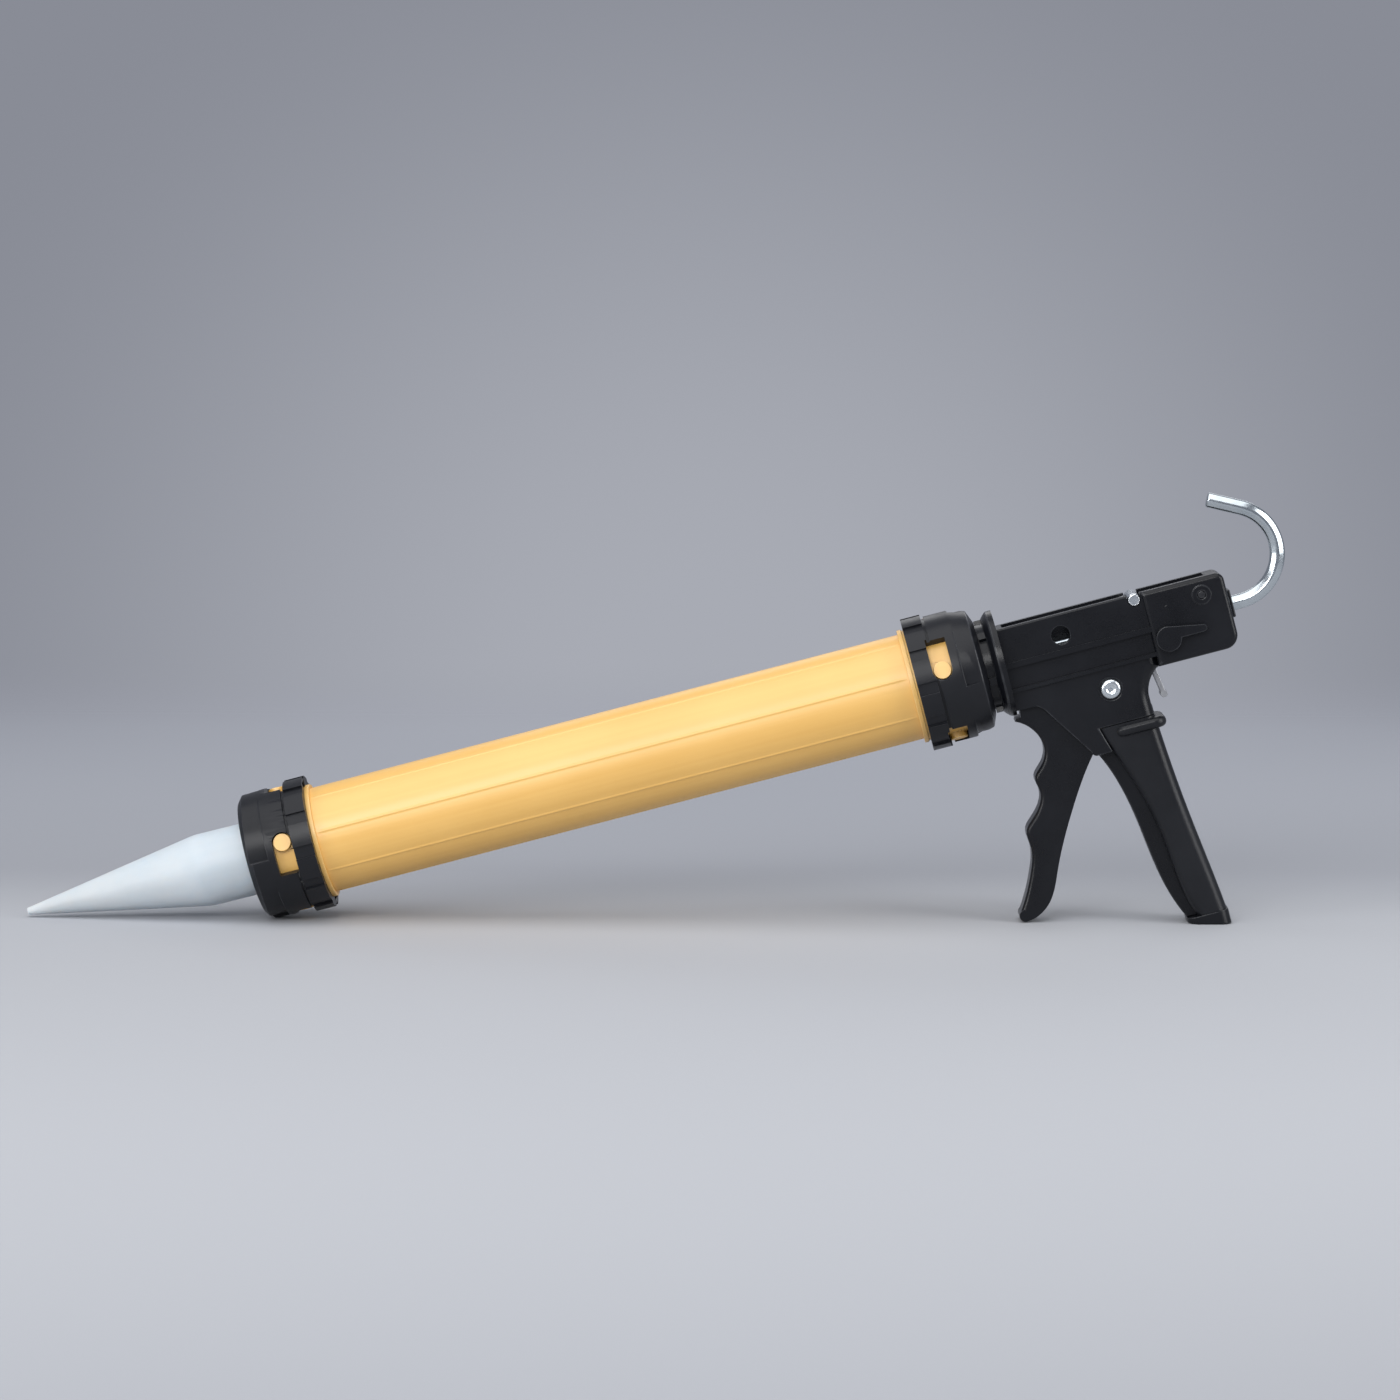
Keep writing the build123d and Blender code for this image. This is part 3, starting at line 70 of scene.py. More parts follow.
def gun_span(node):
    """Lowest and highest corner of a CAD node in the gun's axes, in millimetres."""
    to_gun = GUN.inverted()
    places = [to_gun @ vertex.co / MM for vertex in frame["nodes"][node].data.vertices]
    low = Vector(min(place[axis] for place in places) for axis in range(3))
    high = Vector(max(place[axis] for place in places) for axis in range(3))
    return low, high


# Materials


class Wiring:
    """Short ways to add nodes to a tree and wire them."""

    def __init__(self, tree):
        self.tree = tree

    def add(self, kind, **settings):
        node = self.tree.nodes.new(kind)
        for name, value in settings.items():
            setattr(node, name, value)
        return node

    def wire(self, socket, value):
        if isinstance(value, bpy.types.NodeSocket):
            self.tree.links.new(value, socket)
        else:
            socket.default_value = value

    def spread(self, value, low, high, new_low=0.0, new_high=1.0, course="LINEAR"):
        """A value moved from one range to another, and held inside it."""
        node = self.add("ShaderNodeMapRange", clamp=True, interpolation_type=course)
        self.wire(node.inputs["Value"], value)
        ends = {"From Min": low, "From Max": high, "To Min": new_low, "To Max": new_high}
        for name, number in ends.items():
            self.wire(node.inputs[name], number)
        return node.outputs["Result"]

    def maths(self, operation, first, second):
        node = self.add("ShaderNodeMath", operation=operation)
        self.wire(node.inputs[0], first)
        self.wire(node.inputs[1], second)
        return node.outputs["Value"]

    def times(self, first, second):
        return self.maths("MULTIPLY", first, second)

    def plus(self, first, second):
        return self.maths("ADD", first, second)

    def blend(self, share, first, second):
        """One colour passing into another."""
        node = self.add("ShaderNodeMix", data_type="RGBA")
        self.wire(node.inputs["Factor"], share)
        self.wire(node.inputs[6], first)
        self.wire(node.inputs[7], second)
        return node.outputs[2]

    def apart(self, vector):
        """The three parts of a vector."""
        node = self.add("ShaderNodeSeparateXYZ")
        self.wire(node.inputs["Vector"], vector)
        return node.outputs["X"], node.outputs["Y"], node.outputs["Z"]


class Surface(Wiring):
    """A material with one Principled shader."""

    def __init__(self, name, **constants):
        self.material = bpy.data.materials.new(name)
        self.material.use_nodes = True
        super().__init__(self.material.node_tree)
        self.shader = self.tree.nodes["Principled BSDF"]
        for socket, value in constants.items():
            self.shader.inputs[socket.replace("_", " ")].default_value = value
        self.place = self.add("ShaderNodeTexCoord").outputs["Object"]

    def along_gun(self, stretch=(1, 1, 1)):
        """The surface's place in the gun's axes, stretched along them."""
        turned = self.add("ShaderNodeMapping", vector_type="POINT")
        self.wire(turned.inputs["Vector"], self.place)
        turned.inputs["Rotation"].default_value = (0, TILT, 0)
        scaled = self.add("ShaderNodeMapping", vector_type="POINT")
        self.wire(scaled.inputs["Vector"], turned.outputs["Vector"])
        scaled.inputs["Scale"].default_value = stretch
        return scaled.outputs["Vector"]

    def noise(self, scale, detail=2.0, roughness=0.5, place=None):
        node = self.add("ShaderNodeTexNoise")
        self.wire(node.inputs["Vector"], place or self.place)
        node.inputs["Scale"].default_value = scale
        node.inputs["Detail"].default_value = detail
        node.inputs["Roughness"].default_value = roughness
        return node.outputs["Fac"]

    def painted(self, name):
        """A value that the mesh itself carries, such as its rounded edge strips, which finishes paint paler as
        wear and, on black plastic, also as a painted highlight.
        """
        return self.add("ShaderNodeAttribute", attribute_name=name).outputs["Fac"]

    def bump(self, height, distance):
        """Raises the surface by a height, on top of the bumps it already has."""
        node = self.add("ShaderNodeBump")
        node.inputs["Strength"].default_value = 1.0
        node.inputs["Distance"].default_value = distance
        self.wire(node.inputs["Height"], height)
        before = self.shader.inputs["Normal"].links
        if before:
            self.wire(node.inputs["Normal"], before[0].from_socket)
        self.wire(self.shader.inputs["Normal"], node.outputs["Normal"])

    def colour(self, value):
        self.wire(self.shader.inputs["Base Color"], value)

    def rough(self, value):
        self.wire(self.shader.inputs["Roughness"], value)


# Edge strips of black plastic are painted paler: partly rubbed wear, partly a painted highlight where the rounded
# edges catch the light.
RUBBED_AND_LIT_EDGE_BLACK = (0.075, 0.078, 0.086, 1)
RUBBED_AND_LIT_EDGE_SHARE = 0.4
SCRATCHED_BLACK = (0.07, 0.07, 0.075, 1)
SCRATCHED_SHARE = 0.3


def moulded_black(name, dark, light, gloss, grain):
    """Black moulded plastic: fine grain, cloudy tone, edges painted paler as rubbed wear and as a painted edge
    highlight, and a few hair scratches.
    """
    surface = Surface(name, IOR=1.5, Specular_IOR_Level=0.30)
    cloud = surface.noise(28, 4, 0.6)
    speck = surface.noise(1400, 2)
    patchy = surface.spread(surface.noise(160, 3), 0.38, 0.7, 0.35, 1)
    edge = surface.times(surface.painted("edge"), patchy)
    scratch = surface.spread(surface.noise(90, 5, 0.75, surface.along_gun((0.25, 3, 3))), 0.68, 0.74)
    body = surface.blend(surface.spread(cloud, 0.3, 0.7), (*dark, 1), (*light, 1))
    # Painted edge highlight mixed with rubbed wear on the rounded edge strips.
    rubbed_and_lit = surface.blend(surface.times(edge, RUBBED_AND_LIT_EDGE_SHARE), body, RUBBED_AND_LIT_EDGE_BLACK)
    surface.colour(surface.blend(surface.times(scratch, SCRATCHED_SHARE), rubbed_and_lit, SCRATCHED_BLACK))
    tone = surface.spread(cloud, 0.25, 0.75, gloss - 0.06, gloss + 0.06)
    flecked = surface.plus(tone, surface.spread(speck, 0.2, 0.8, -0.05, 0.05))
    surface.rough(surface.plus(flecked, surface.times(edge, -0.1)))
    surface.bump(surface.noise(grain, 3, 0.6), 0.03 * MM)
    surface.bump(surface.times(scratch, -1.0), 0.02 * MM)
    return surface.material


DEEP_YELLOW = (0.72, 0.405, 0.088, 1)
PALE_YELLOW = (0.78, 0.458, 0.116, 1)
STREAKED_YELLOW = (0.84, 0.535, 0.165, 1)
SOILED_YELLOW = (0.52, 0.31, 0.09, 1)
RUBBED_YELLOW = (0.95, 0.71, 0.32, 1)


def moulded_yellow():
    """Yellow satin plastic with drawn lines along the barrel, pale rubbed edges and light soiling."""
    surface = Surface("yellow_moulding", IOR=1.5, Specular_IOR_Level=1.0)
    cloud = surface.noise(14, 3, 0.55)
    drawn = surface.noise(60, 4, 0.6, surface.along_gun((0.06, 5, 5)))
    soil = surface.spread(surface.noise(75, 6, 0.7), 0.62, 0.8)
    patchy = surface.spread(surface.noise(120, 3), 0.35, 0.65, 0.2, 1)
    edge = surface.times(surface.painted("edge"), patchy)
    body = surface.blend(surface.spread(cloud, 0.25, 0.75), DEEP_YELLOW, PALE_YELLOW)
    streaked = surface.blend(surface.spread(drawn, 0.35, 0.75, 0, 0.3), body, STREAKED_YELLOW)
    soiled = surface.blend(surface.times(soil, 0.2), streaked, SOILED_YELLOW)
    surface.colour(surface.blend(surface.times(edge, 0.45), soiled, RUBBED_YELLOW))
    surface.rough(surface.plus(surface.spread(drawn, 0.2, 0.8, 0.34, 0.48), surface.times(soil, 0.12)))
    surface.bump(drawn, 0.03 * MM)
    surface.bump(surface.noise(1800, 2), 0.012 * MM)
    return surface.material


DEEP_MILK = (0.54, 0.62, 0.70, 1)
PALE_MILK = (0.59, 0.66, 0.73, 1)
MILK_FLOW_LINES = (0.65, 0.71, 0.77, 1)
MILK_DEPTH = 0.006
MILK_SPREAD = (0.75, 0.9, 1.0)


def milky_white():
    """Milky polyethylene: light spreads inside it, with a faint cloud and flow lines from the base."""
    surface = Surface("milky_plastic", IOR=1.5, Subsurface_Weight=1.0, Subsurface_Scale=MILK_DEPTH)
    surface.shader.inputs["Subsurface Radius"].default_value = MILK_SPREAD
    cloud = surface.noise(40, 3, 0.6)
    flow = surface.noise(45, 4, 0.6, surface.along_gun((0.12, 4, 4)))
    body = surface.blend(surface.spread(cloud, 0.3, 0.7), DEEP_MILK, PALE_MILK)
    surface.colour(surface.blend(surface.spread(flow, 0.45, 0.8, 0, 0.3), body, MILK_FLOW_LINES))
    surface.rough(surface.spread(flow, 0.2, 0.8, 0.36, 0.5))
    surface.bump(flow, 0.03 * MM)
    return surface.material


WORN_ZINC = (0.85, 0.86, 0.87, 1)
DULL_ZINC = (0.42, 0.44, 0.46, 1)


def bright_zinc(name, low, high, streak, plain, pale):
    """Bright zinc plate with draw marks along one way and cloudy passivation."""
    surface = Surface(name, Metallic=1.0)
    marks = surface.noise(140, 4, 0.6, surface.along_gun(streak))
    cloud = surface.noise(60, 3)
    dull = surface.spread(surface.noise(220, 5, 0.7), 0.6, 0.75)
    plate = surface.blend(surface.spread(cloud, 0.3, 0.7), (*plain, 1), (*pale, 1))
    worn = surface.blend(surface.times(surface.painted("edge"), 0.4), plate, WORN_ZINC)
    surface.colour(surface.blend(surface.times(dull, 0.25), worn, DULL_ZINC))
    surface.rough(surface.plus(surface.spread(marks, 0.25, 0.75, low, high), surface.times(dull, 0.1)))
    surface.bump(marks, 0.012 * MM)
    return surface.material


def oiled_steel(name, dark, pale):
    """Spring steel with a dark oil tint and fine grinding marks."""
    surface = Surface(name, Metallic=1.0)
    marks = surface.noise(260, 4, 0.65, surface.along_gun((3, 0.4, 3)))
    cloud = surface.noise(90, 4, 0.6)
    tint = surface.spread(cloud, 0.3, 0.7)
    surface.colour(surface.blend(tint, (*dark, 1), (*pale, 1)))
    surface.rough(surface.spread(marks, 0.25, 0.75, 0.28, 0.46))
    surface.bump(marks, 0.015 * MM)
    return surface.material


DEEP_NYLON = (0.70, 0.67, 0.58, 1)
PALE_NYLON = (0.80, 0.78, 0.70, 1)
GREASE = (0.30, 0.27, 0.22, 1)


def natural_nylon():
    """Unpigmented nylon, warm white with a waxy surface and grease stains."""
    surface = Surface("natural_nylon", IOR=1.53, Subsurface_Weight=0.2, Subsurface_Scale=0.004)
    cloud = surface.noise(70, 3)
    grease = surface.spread(surface.noise(130, 5, 0.7), 0.6, 0.74)
    body = surface.blend(surface.spread(cloud, 0.3, 0.7), DEEP_NYLON, PALE_NYLON)
    surface.colour(surface.blend(surface.times(grease, 0.4), body, GREASE))
    surface.rough(surface.spread(cloud, 0.2, 0.8, 0.36, 0.5))
    surface.bump(surface.noise(900, 2), 0.02 * MM)
    return surface.material


PLAIN_RUBBER = (0.016, 0.016, 0.017, 1)
DUSTY_RUBBER = (0.05, 0.05, 0.052, 1)


def seal_rubber():
    """Dull black rubber with a dusty bloom."""
    surface = Surface("seal_rubber", IOR=1.52)
    bloom = surface.noise(180, 4, 0.65)
    dusty = surface.spread(bloom, 0.45, 0.75)
    surface.colour(surface.blend(dusty, PLAIN_RUBBER, DUSTY_RUBBER))
    surface.rough(surface.spread(bloom, 0.2, 0.8, 0.6, 0.75))
    surface.bump(surface.noise(1500, 3), 0.03 * MM)
    return surface.material


black_frame = moulded_black("black_frame", (0.0024, 0.0028, 0.0044), (0.0048, 0.0055, 0.0080), 0.31, 1500)
black_cap = moulded_black("black_cap", (0.0055, 0.0060, 0.0082), (0.0090, 0.0098, 0.0125), 0.36, 1300)
black_grip = moulded_black("black_grip", (0.0055, 0.0061, 0.0080), (0.0090, 0.0098, 0.0125), 0.34, 2200)
yellow = moulded_yellow()
milky = milky_white()
zinc_rod = bright_zinc("zinc_rod", 0.12, 0.24, (0.05, 4, 4), (0.47, 0.52, 0.55), (0.58, 0.625, 0.65))
zinc_pin = bright_zinc("zinc_pin", 0.16, 0.30, (2, 2, 2), (0.60, 0.65, 0.68), (0.72, 0.76, 0.78))
steel = oiled_steel("plain_steel", (0.34, 0.34, 0.35), (0.50, 0.51, 0.52))
dark_steel = oiled_steel("dark_steel", (0.055, 0.056, 0.060), (0.095, 0.097, 0.104))
nylon = natural_nylon()
rubber = seal_rubber()


# Shapes, in the gun's axes

# Points of a turned shape that lie nearer than this, in millimetres, become one
WELD = 0.001
# Turns a shape that was made along X so that it points to the gun's near side
TO_NEAR_SIDE = Matrix.Rotation(-math.pi / 2, 4, "Z")


def rounded(corners, steps=6):
    """A closed outline from (x, y, radius) corners, each turned into an arc of its radius."""
    outline = []
    for index, (x, y, radius) in enumerate(corners):
        corner = Vector((x, y))
        if not radius:
            outline.append(corner)
            continue
        back = (Vector(corners[index - 1][:2]) - corner).normalized()
        onward = (Vector(corners[(index + 1) % len(corners)][:2]) - corner).normalized()
        half = back.angle(onward) / 2
        centre = corner + (back + onward).normalized() * radius / math.sin(half)
        first = corner + back * radius / math.tan(half) - centre
        last = corner + onward * radius / math.tan(half) - centre
        outline += [centre + radius * first.slerp(last, step / steps) for step in range(steps + 1)]
    return outline


def turned(outline, steps=96, closed=True):
    """A shape turned about X from an outline of (x, radius) in millimetres."""
    mesh = bmesh.new()
    points = [mesh.verts.new((x * MM, 0, radius * MM)) for x, radius in outline]
    pairs = zip(points, points[1:] + points[:1] if closed else points[1:])
    edges = [mesh.edges.new(pair) for pair in pairs]
    bmesh.ops.spin(
        mesh,
        geom=points + edges,
        cent=(0, 0, 0),
        axis=(1, 0, 0),
        angle=2 * math.pi,
        steps=steps,
        use_merge=True,
    )
    bmesh.ops.remove_doubles(mesh, verts=mesh.verts, dist=WELD * MM)
    bmesh.ops.recalc_face_normals(mesh, faces=mesh.faces)
    return mesh


def swept(outline, path):
    """An outline of (y, z) in millimetres carried along a path of places, closed at both ends."""
    mesh = bmesh.new()
    rings = [[mesh.verts.new(place @ (Vector((0, y, z)) * MM)) for y, z in outline] for place in path]
    for ring, further in zip(rings, rings[1:]):
        for index in range(len(outline)):
            mesh.faces.new((ring[index - 1], ring[index], further[index], further[index - 1]))
    mesh.faces.new(rings[0])
    mesh.faces.new(rings[-1])
    bmesh.ops.recalc_face_normals(mesh, faces=mesh.faces)
    return mesh


# Pieces

# Edges sharper than SHARP are rounded off, and faces of a CAD node that are FLAT to one another become one
SHARP = math.radians(28)
FLAT = math.radians(0.1)
NEARLY_STRAIGHT = math.radians(150)
CAD_WELD = 0.002
EDGE_SEGMENTS = 2
ROUND_PROFILE = 0.5


def dress(node, material):
    """Give a CAD node its finish."""
    mesh = frame["nodes"][node].data
    mesh.materials.clear()
    mesh.materials.append(material)


def shown(mesh, node, material, smooth_angle=32, name=None):
    """The object that stands for a CAD node, or a named detail on it, smooth shaded, on the same body."""
    label = name or node + "_shown"
    for face in mesh.faces:
        face.smooth = True
    data = bpy.data.meshes.new(label)
    mesh.to_mesh(data)
    mesh.free()
    data.materials.append(material)
    data.set_sharp_from_angle(angle=math.radians(smooth_angle))
    piece = bpy.data.objects.new(label, data)
    bpy.context.scene.collection.objects.link(piece)
    weighted = piece.modifiers.new("weighted", "WEIGHTED_NORMAL")
    weighted.keep_sharp = True
    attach(piece, BODY[node])
    if not name:
        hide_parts(node)
    return piece


def linked(edges):
    """The edges sorted into groups that touch one another."""
    left = dict.fromkeys(edges)
    groups = []
    while left:
        first = next(iter(left))
        del left[first]
        group, ahead = [], [first]
        while ahead:
            edge = ahead.pop()
            group.append(edge)
            for other in (other for vertex in edge.verts for other in vertex.link_edges):
                if other in left:
                    del left[other]
                    ahead.append(other)
        groups.append(group)
    return groups


def middle(group):
    """The middle of a group of edges, to a hundredth of a millimetre."""
    points = [vertex.co for edge in group for vertex in edge.verts]
    place = sum(points, Vector()) / len(points) / MM
    return tuple(round(part, 2) for part in place)


def room(edge, chosen):
    """How far an edge's two faces let it be set back, when the chosen edges are set back with it."""
    rooms = [math.inf]
    for loop in edge.link_loops:
        onward = loop.link_loop_next
        for corner, other in ((loop, loop.link_loop_prev.edge), (onward, onward.edge)):
            angle = corner.calc_angle()
            if angle > NEARLY_STRAIGHT:
                continue
            if other in chosen:
                rooms.append(edge.calc_length() / 2 * math.tan(angle / 2))
            else:
                rooms.append(other.calc_length() / 2 * math.sin(angle))
    return min(rooms)


def ring_like(face):
    """Whether a face of many corners runs round a hole, which a rounded edge could make it close over."""
    return len(face.verts) > 4 and not bmesh.geometry.intersect_face_point(face, face.calc_center_median())


def softened(node, material, width, tightest=0.25, moved=None):
    """A copy of a CAD node with its sharp edges rounded off, and the rounded strips marked, for finishes that
    paint them paler as worn edges and, on black plastic, as a painted edge highlight.

    Edges with room for less than the tightest share of the width stay as they are. A function can be given
    that says how far each point is moved after that.
    """
    mesh = bmesh.new()
    mesh.from_mesh(frame["nodes"][node].data)
    bmesh.ops.remove_doubles(mesh, verts=mesh.verts, dist=CAD_WELD * MM)
    bmesh.ops.dissolve_limit(mesh, angle_limit=FLAT, verts=mesh.verts, edges=mesh.edges)
    bmesh.ops.triangulate(mesh, faces=[face for face in mesh.faces if ring_like(face)])
    layer = mesh.faces.layers.float.new("edge")
    chosen = [edge for edge in mesh.edges if len(edge.link_faces) == 2 and edge.calc_face_angle() > SHARP]
    tight = set(chosen)
    while tight:
        together = set(chosen)
        tight = {edge for edge in chosen if room(edge, together) < tightest * width * MM}
        chosen = [edge for edge in chosen if edge not in tight]
    # A fixed order gives the same shapes in each run, and this one, from the hook's end on, leaves few folds
    for group in sorted(linked(chosen), key=middle, reverse=True):
        strips = bmesh.ops.bevel(
            mesh,
            geom=group,
            offset=width * MM,
            offset_type="OFFSET",
            segments=EDGE_SEGMENTS,
            profile=ROUND_PROFILE,
            affect="EDGES",
            clamp_overlap=True,
            loop_slide=True,
        )
        for face in strips["faces"]:
            face[layer] = 1.0
    if moved:
        for vertex in mesh.verts:
            vertex.co += moved(GUN.inverted() @ vertex.co / MM)
    return shown(mesh, node, material)


WEB_EDGE_X = (49.3, 54.3)
WEB_EDGE_Z = (-61.0, -45.0)
WEB_INSIDE = 10.0
WEB_EDGE_MOVE = 0.5


def closer_to_grip(place):
    """How far a point moves: the web plates' edge goes towards the grip, so that no light shows between."""
    along = WEB_EDGE_X[0] < place.x < WEB_EDGE_X[1]
    upright = WEB_EDGE_Z[0] < place.z < WEB_EDGE_Z[1]
    at_edge = along and upright and abs(place.y) > WEB_INSIDE
    return GUN_X * (WEB_EDGE_MOVE * MM if at_edge else 0.0)


RIDGES = 8
FIRST_RIDGE = 30.0
RIDGE_HEIGHT = 0.32
RIDGE_HALF_WIDTH = 0.65
RIDGE_RUN_OUT = 5.0
STEPS_PER_RIDGE = 90
BARREL_WALL = 3.0


def ridged_barrel():
    """The barrel tube, with its moulded lines as soft ridges that run out at the collars."""
    low, high = gun_span("barrel_tube")
    first, last = gun_span("front_collar")[1].x, gun_span("rear_collar")[0].x
    radius = high.y
    bore = radius - BARREL_WALL
    stations = [
        (low.x, 0, bore),
        (low.x, 0, radius),
        (first, 0, radius),
        (first + RIDGE_RUN_OUT, 1, radius),
        (last - RIDGE_RUN_OUT, 1, radius),
        (last, 0, radius),
        (high.x, 0, radius),
        (high.x, 0, bore),
    ]
    steps = STEPS_PER_RIDGE * RIDGES
    mesh = bmesh.new()
    rings = []
    for x, share, reach in stations:
        ring = []
        for step in range(steps):
            from_ridge = (step / steps * RIDGES + 0.5) % 1 - 0.5
            away = from_ridge * 2 * math.pi * radius / RIDGES / RIDGE_HALF_WIDTH
            out = reach + share * RIDGE_HEIGHT * math.exp(-away * away)
            angle = math.radians(FIRST_RIDGE) + 2 * math.pi * step / steps
            ring.append(mesh.verts.new(gun_point(x, out * math.cos(angle), out * math.sin(angle))))
        rings.append(ring)
    for ring, further in zip(rings, rings[1:] + rings[:1]):
        for step in range(steps):
            mesh.faces.new((ring[step - 1], ring[step], further[step], further[step - 1]))
    bmesh.ops.recalc_face_normals(mesh, faces=mesh.faces)
    shown(mesh, "barrel_tube", yellow)


NOZZLE_BASE_RADIUS = 19.6
NOZZLE_BASE_LENGTH = 28.0
NOZZLE_WALL = 1.8
NOZZLE_FLANGE = 3.0
NOZZLE_FLANGE_ROUND = 0.5
NOZZLE_TIP_RADIUS = 1.9
NOZZLE_TIP_BORE = 0.9
NOZZLE_TIP_ROUND = 0.45
NOZZLE_BORE_ROUND = 0.2
NOZZLE_OVERRUN = 3.6
NOZZLE_SHOULDER_ROUND = 22.0
NOZZLE_LEAN = 0.026
NOZZLE_LEAN_START = 20.0


def leaning_nozzle():
    """The cone nozzle with a soft shoulder and a blunt tip, bent up a little towards the tip."""
    low, high = gun_span("nozzle")
    cap_face = gun_span("front_cap")[0].x
    flange = high.y
    cone_start = cap_face - NOZZLE_BASE_LENGTH
    tip = low.x - NOZZLE_OVERRUN
    outline = rounded(
        [
            (high.x, NOZZLE_BASE_RADIUS - NOZZLE_WALL, 0),
            (high.x, flange, NOZZLE_FLANGE_ROUND),
            (high.x - NOZZLE_FLANGE, flange, NOZZLE_FLANGE_ROUND),
            (high.x - NOZZLE_FLANGE, NOZZLE_BASE_RADIUS, 0),
            (cone_start, NOZZLE_BASE_RADIUS, NOZZLE_SHOULDER_ROUND),
            (tip, NOZZLE_TIP_RADIUS, NOZZLE_TIP_ROUND),
            (tip, NOZZLE_TIP_BORE, NOZZLE_BORE_ROUND),
            (cone_start, NOZZLE_BASE_RADIUS - NOZZLE_WALL, NOZZLE_SHOULDER_ROUND),
        ],
        steps=10,
    )
    mesh = turned(outline, steps=128)
    for vertex in mesh.verts:
        out = max(0.0, cap_face - vertex.co.x / MM)
        vertex.co.z += NOZZLE_LEAN * out * out / (out + NOZZLE_LEAN_START) * MM
    mesh.transform(GUN)
    shown(mesh, "nozzle", milky, smooth_angle=50)


ROD_FLATS = 8.0
ROD_EDGE = 2.4
HOOK_START = 140.3
HOOK_RADIUS = 25.5
HOOK_ARC = 152.0
HOOK_TAIL = 18.5
HOOK_STEPS = 60
# The rings that round off the hook's end: how far along from the end, and the share of the rod's thickness
HOOK_END_RINGS = ((-1.2, 1.0), (-0.5, 0.95), (-0.12, 0.82), (0.0, 0.62))


def hooked_rod():
    """The hexagon rod with soft edges, its end bent into the ladder hook and rounded off."""
    front = gun_span("rod")[0].x
    corner = ROD_FLATS / 2 / math.cos(math.radians(30))
    turns = [math.radians(60 * side) for side in range(6)]
    corners = [(corner * math.cos(turn), corner * math.sin(turn)) for turn in turns]
    outline = rounded([(y, z, ROD_EDGE) for y, z in corners])
    places = [Matrix.Translation((front * MM, 0, 0)), Matrix.Translation((HOOK_START * MM, 0, 0))]
    centre = Matrix.Translation((HOOK_START * MM, 0, HOOK_RADIUS * MM))
    for step in range(1, HOOK_STEPS + 1):
        bend = Matrix.Rotation(-math.radians(HOOK_ARC) * step / HOOK_STEPS, 4, "Y")
        places.append(centre @ bend @ Matrix.Translation((0, 0, -HOOK_RADIUS * MM)))
    hook_end = places[-1]
    for further, share in HOOK_END_RINGS:
        tail = Matrix.Translation(((HOOK_TAIL + further) * MM, 0, 0))
        places.append(hook_end @ tail @ Matrix.Diagonal((1, share, share, 1)))
    mesh = swept(outline, [GUN @ place for place in places])
    shown(mesh, "rod", zinc_rod, smooth_angle=40)


PIN_RADIUS = 4.0
PIN_CHAMFER = 0.4
PIN_HEAD_RADIUS = 5.3
PIN_HEAD = 2.4
PIN_HEAD_CHAMFER = 0.2
# The head's dome: the share of its height, and how far in from its rim
PIN_DOME = ((0.45, 0.0), (0.68, 0.25), (0.88, 0.85))
PIN_DISH_RADIUS = 2.5
PIN_DISH = 0.9


def dished_pin():
    """The pivot pin with a domed head and a dish struck into the middle of it."""
    low, high = gun_span("trigger_pin")
    face = -low.y
    far = -high.y
    seat = face - PIN_HEAD
    outline = [
        (far, 0),
        (far, PIN_RADIUS - PIN_CHAMFER),
        (far + PIN_CHAMFER, PIN_RADIUS),
        (seat, PIN_RADIUS),
        (seat, PIN_HEAD_RADIUS - PIN_HEAD_CHAMFER),
        (seat + PIN_HEAD_CHAMFER, PIN_HEAD_RADIUS),
        *((seat + PIN_HEAD * share, PIN_HEAD_RADIUS - inward) for share, inward in PIN_DOME),
        (face - 0.05, PIN_HEAD_RADIUS - 1.7),
        (face, PIN_DISH_RADIUS + 0.35),
        (face - 0.12, PIN_DISH_RADIUS),
        (face - PIN_DISH * 0.7, PIN_DISH_RADIUS - 0.6),
        (face - PIN_DISH, PIN_DISH_RADIUS - 1.2),
        (face - PIN_DISH * 0.85, 0.5),
        (face - PIN_DISH * 0.8, 0),
    ]
    mesh = turned(outline, steps=48, closed=False)
    middle = (low + high) / 2
    mesh.transform(GUN @ Matrix.Translation((middle.x * MM, 0, middle.z * MM)) @ TO_NEAR_SIDE)
    shown(mesh, "trigger_pin", zinc_pin, smooth_angle=50)


STUD_PLACE = (100.7, -15.5, 7.8)
STUD_RADIUS = 1.3
STUD_HEIGHT = 0.22
STUD_ROOT = 0.5


def housing_stud():
    """The small round stud on the near side of the rear housing."""
    outline = [
        (-STUD_ROOT, 0),
        (-STUD_ROOT, STUD_RADIUS),
        (STUD_HEIGHT * 0.5, STUD_RADIUS),
        (STUD_HEIGHT * 0.85, STUD_RADIUS * 0.8),
        (STUD_HEIGHT, STUD_RADIUS * 0.5),
        (STUD_HEIGHT, 0),
    ]
    mesh = turned(outline, steps=32, closed=False)
    mesh.transform(GUN @ Matrix.Translation(Vector(STUD_PLACE) * MM) @ TO_NEAR_SIDE)
    shown(mesh, "frame", black_frame, smooth_angle=50, name="housing_stud")


STEPS_PER_TURN = 30
CLOSED_TURNS = 0.75
WIRE_SIDES = 10


